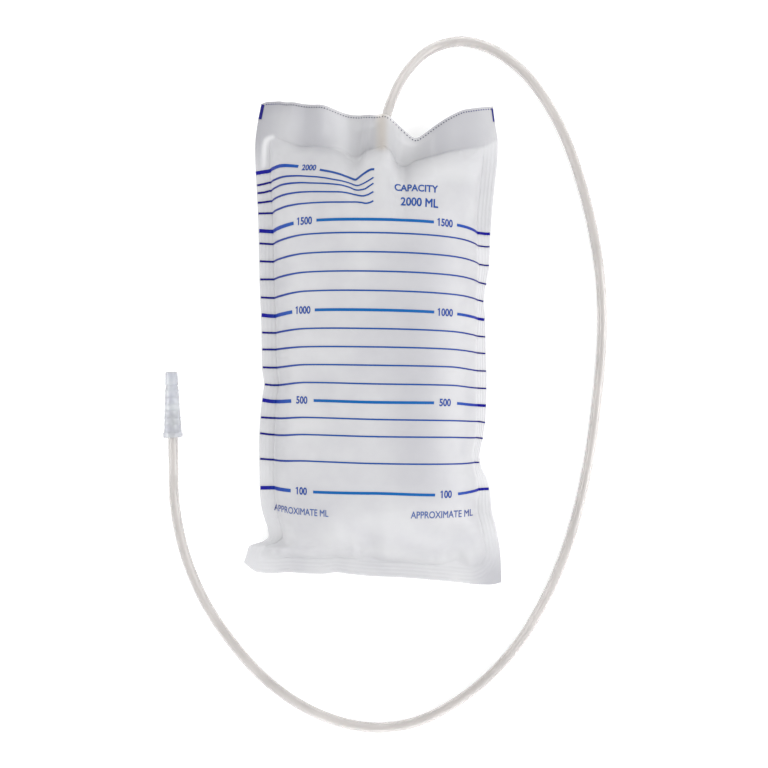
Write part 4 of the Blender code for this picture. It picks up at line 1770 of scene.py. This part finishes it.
@dataclass
class InletTube:
    """The clear inlet tube, from inside the header round over the floor to the connector."""

    form: BagForm
    connector: Connector
    bore: float = 0.0047
    spacing: float = 0.0045
    roundness: int = 6
    # How far inside the header's edge the cord's exit is given
    exit_inside: float = 0.006
    # Points over the floor as (x, y, height of the tube's middle), with 0 where it rests on the floor
    route: tuple[Point3, ...] = (
        (0.0185, 0.1752, 0.0110), (0.0293, 0.1906, 0.0080), (0.0403, 0.2002, 0.0050),
        (0.0568, 0.2060, 0.0), (0.0732, 0.2039, 0.0), (0.0896, 0.1961, 0.0),
        (0.1080, 0.1797, 0.0), (0.1258, 0.1524, 0.0), (0.1374, 0.1251, 0.0),
        (0.1456, 0.0978, 0.0), (0.1517, 0.0705, 0.0), (0.1555, 0.0432, 0.0),
        (0.1568, 0.0159, 0.0), (0.1557, -0.0114, 0.0), (0.1531, -0.0387, 0.0),
        (0.1497, -0.0660, 0.0), (0.1449, -0.0933, 0.0), (0.1384, -0.1206, 0.0),
        (0.1295, -0.1479, 0.0), (0.1173, -0.1752, 0.0), (0.1000, -0.2040, 0.0),
        (0.0770, -0.2295, 0.0), (0.0541, -0.2467, 0.0), (0.0323, -0.2575, 0.0),
        (0.0104, -0.2622, 0.0), (-0.0114, -0.2610, 0.0), (-0.0333, -0.2547, 0.0),
        (-0.0551, -0.2433, 0.0), (-0.0769, -0.2260, 0.0), (-0.0967, -0.2035, 0.0),
        (-0.1130, -0.1793, 0.0), (-0.1244, -0.1548, 0.0), (-0.1317, -0.1302, 0.0),
        (-0.1350, -0.1056, 0.0050),
    )

    def seam(self) -> Point:
        """The header's edge and the tube's mouth.

        Returns:
            Their two places along y.
        """
        share = self.form.header_share(np.array(self.form.tube_x))
        edge = float(self.form.top_edge(share))
        return edge, edge - float(self.form.header_depth(share)) - self.form.tube_end_inside

    def path(self) -> list[Vector]:
        """Points close together on one smooth curve, from the mouth to the socket.

        Returns:
            The tube's middle line.
        """
        form, rest = self.form, self.form.tube_diameter / 2
        edge, mouth = self.seam()
        points = [Vector((form.tube_x, y, form.tube_height)) for y in (mouth, (mouth + edge) / 2, edge)]
        points += [Vector((x, y, max(z, rest))) for x, y, z in self.route]
        fit = self.connector
        for step in (-fit.socket_depth, 0.0, fit.socket_depth - fit.socket_clearance):
            points.append(fit.base + fit.axis * step)
        path = []
        for i in range(len(points) - 1):
            start, end = points[i], points[i + 1]
            reach = (end - start).length
            out = (end - points[max(i - 1, 0)]).normalized() * reach
            into = (points[min(i + 2, len(points) - 1)] - start).normalized() * reach
            parts = max(1, round(reach / self.spacing))
            for k in range(parts):
                u = k / parts
                place = start * (2 * u**3 - 3 * u**2 + 1) + out * (u**3 - 2 * u**2 + u)
                place += end * (3 * u**2 - 2 * u**3) + into * (u**3 - u**2)
                place.z = max(place.z, rest)
                path.append(place)
        path.append(points[-1])
        return path

    def build(self, connector: Piece) -> Piece:
        """Args:
            connector: The finished connector, which is on its far end; not used.

        Returns:
            The tube.
        """
        path = self.path()
        curve = bpy.data.curves.new("clear_inlet_tube", "CURVE")
        curve.dimensions = "3D"
        spline = curve.splines.new("POLY")
        spline.points.add(len(path) - 1)
        for point, place in zip(spline.points, path):
            point.co = (*place, 1.0)
        curve.bevel_depth = self.form.tube_diameter / 2
        curve.bevel_resolution = self.roundness
        piece = bpy.data.objects.new("clear_inlet_tube", curve)
        bpy.context.scene.collection.objects.link(piece)
        select_only(piece)
        bpy.ops.object.convert(target="MESH")
        piece = bpy.context.active_object
        piece.name = "clear_inlet_tube"
        thicken(piece, (self.form.tube_diameter - self.bore) / 2, -1.0)
        dress(piece, TubeFinish().make(), sharp=50)
        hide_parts("inlet_tube")
        settle(piece)
        edge = self.seam()[0]
        return piece


@dataclass
class Studio:
    """A pale floor, soft lamps and the camera straight above."""

    camera_place: Point3 = (0.0077, -0.0278, 0.510)
    floor_size: float = 6.0
    floor_drop: float = 0.0003
    lamps: tuple[tuple[str, Point3, float, float], ...] = (
        ("lamp_right", (1.00, -0.10, 0.62), 0.8, 9.0),
        ("lamp_left", (-1.00, 0.05, 0.56), 0.8, 6.5),
        ("lamp_foot", (0.10, -1.05, 0.55), 0.9, 7.0),
        ("lamp_head", (0.25, 1.05, 0.60), 0.9, 5.5),
    )
    world_strength: float = 0.395
    floor_glow: float = 0.40

    def camera(self) -> None:
        """Set the camera at the photograph's distance, looking straight down."""
        lens = bpy.data.cameras.new("camera")
        width = IMAGE_PIXELS * METRES_PER_PIXEL
        lens.sensor_width = SENSOR_MM
        lens.lens = SENSOR_MM * self.camera_place[2] / width
        eye = bpy.data.objects.new("camera", lens)
        eye.location = self.camera_place
        bpy.context.scene.collection.objects.link(eye)
        bpy.context.scene.camera = eye

    def light(self) -> None:
        """Hang the soft lamps, each turned to the bag."""
        for name, place, size, power in self.lamps:
            lamp = bpy.data.lights.new(name, "AREA")
            lamp.shape = "SQUARE"
            lamp.size = size
            lamp.energy = power
            hung = bpy.data.objects.new(name, lamp)
            hung.location = place
            hung.rotation_euler = (-Vector(place)).to_track_quat("-Z", "Y").to_euler()
            bpy.context.scene.collection.objects.link(hung)

    def seen(self, tree: Tree) -> Node:
        """Add the test for rays that show the background: camera, glossy and transmission rays.

        Args:
            tree: The node tree.

        Returns:
            A node that is 1 for those rays and 0 for the rest.
        """
        path = add_node(tree, "ShaderNodeLightPath")
        sharp = add_node(
            tree, "ShaderNodeMath", {"operation": "MAXIMUM"},
            links={0: (path, "Is Camera Ray"), 1: (path, "Is Glossy Ray")},
        )
        return add_node(
            tree, "ShaderNodeMath", {"operation": "MAXIMUM"},
            links={0: (sharp, 0), 1: (path, "Is Transmission Ray")},
        )

    def world(self) -> None:
        """Give the surroundings an even white, brighter where they are seen."""
        world = bpy.data.worlds.new("studio")
        tree = empty_tree(world)
        seen = self.seen(tree)
        strength = add_node(
            tree, "ShaderNodeMapRange",
            values={"To Min": self.world_strength, "To Max": 1.0},
            links={"Value": (seen, 0)},
        )
        sky = add_node(
            tree, "ShaderNodeBackground",
            values={"Color": linear("#FFFFFF")},
            links={"Strength": (strength, "Result")},
        )
        add_node(tree, "ShaderNodeOutputWorld", links={"Surface": (sky, "Background")})
        bpy.context.scene.world = world

    def floor(self) -> None:
        """Lay the pale floor, which keeps the bag's shadow."""
        bpy.ops.object.select_all(action="DESELECT")
        bpy.ops.mesh.primitive_plane_add(size=self.floor_size, location=(0.0, 0.0, -self.floor_drop))
        piece = bpy.context.active_object
        piece.name = "floor"
        # Matt white laminate table top
        material = bpy.data.materials.new("Matt_white_laminate")
        tree = empty_tree(material)
        seen = self.seen(tree)
        glow = add_node(
            tree, "ShaderNodeMath", {"operation": "MULTIPLY"}, {1: self.floor_glow}, {0: (seen, 0)}
        )
        matt = add_node(tree, "ShaderNodeBsdfDiffuse", values={"Color": linear("#F0F0F0")})
        lit = add_node(
            tree, "ShaderNodeEmission", values={"Color": linear("#FFFFFF")}, links={"Strength": (glow, 0)}
        )
        both = add_node(tree, "ShaderNodeAddShader", links={0: (matt, 0), 1: (lit, 0)})
        add_node(tree, "ShaderNodeOutputMaterial", links={"Surface": (both, 0)})
        dress(piece, material)

    def build(self) -> None:
        """Set up the whole studio."""
        bpy.context.scene.view_settings.view_transform = "Standard"
        self.camera()
        self.light()
        self.world()
        self.floor()


def main() -> None:
    """Build the studio and the bag."""
    logging.basicConfig(level=logging.INFO, format="%(message)s")
    Studio().build()
    form = BagForm()
    connector = Connector()
    InletTube(form, connector).build(connector.build())
    films = Films(form, FilmTones())
    front = films.front()
    back = films.back()
    films.leaf(1)
    films.leaf(-1)
    Printing(front, form).build()


if __name__ == "__main__":
    main()
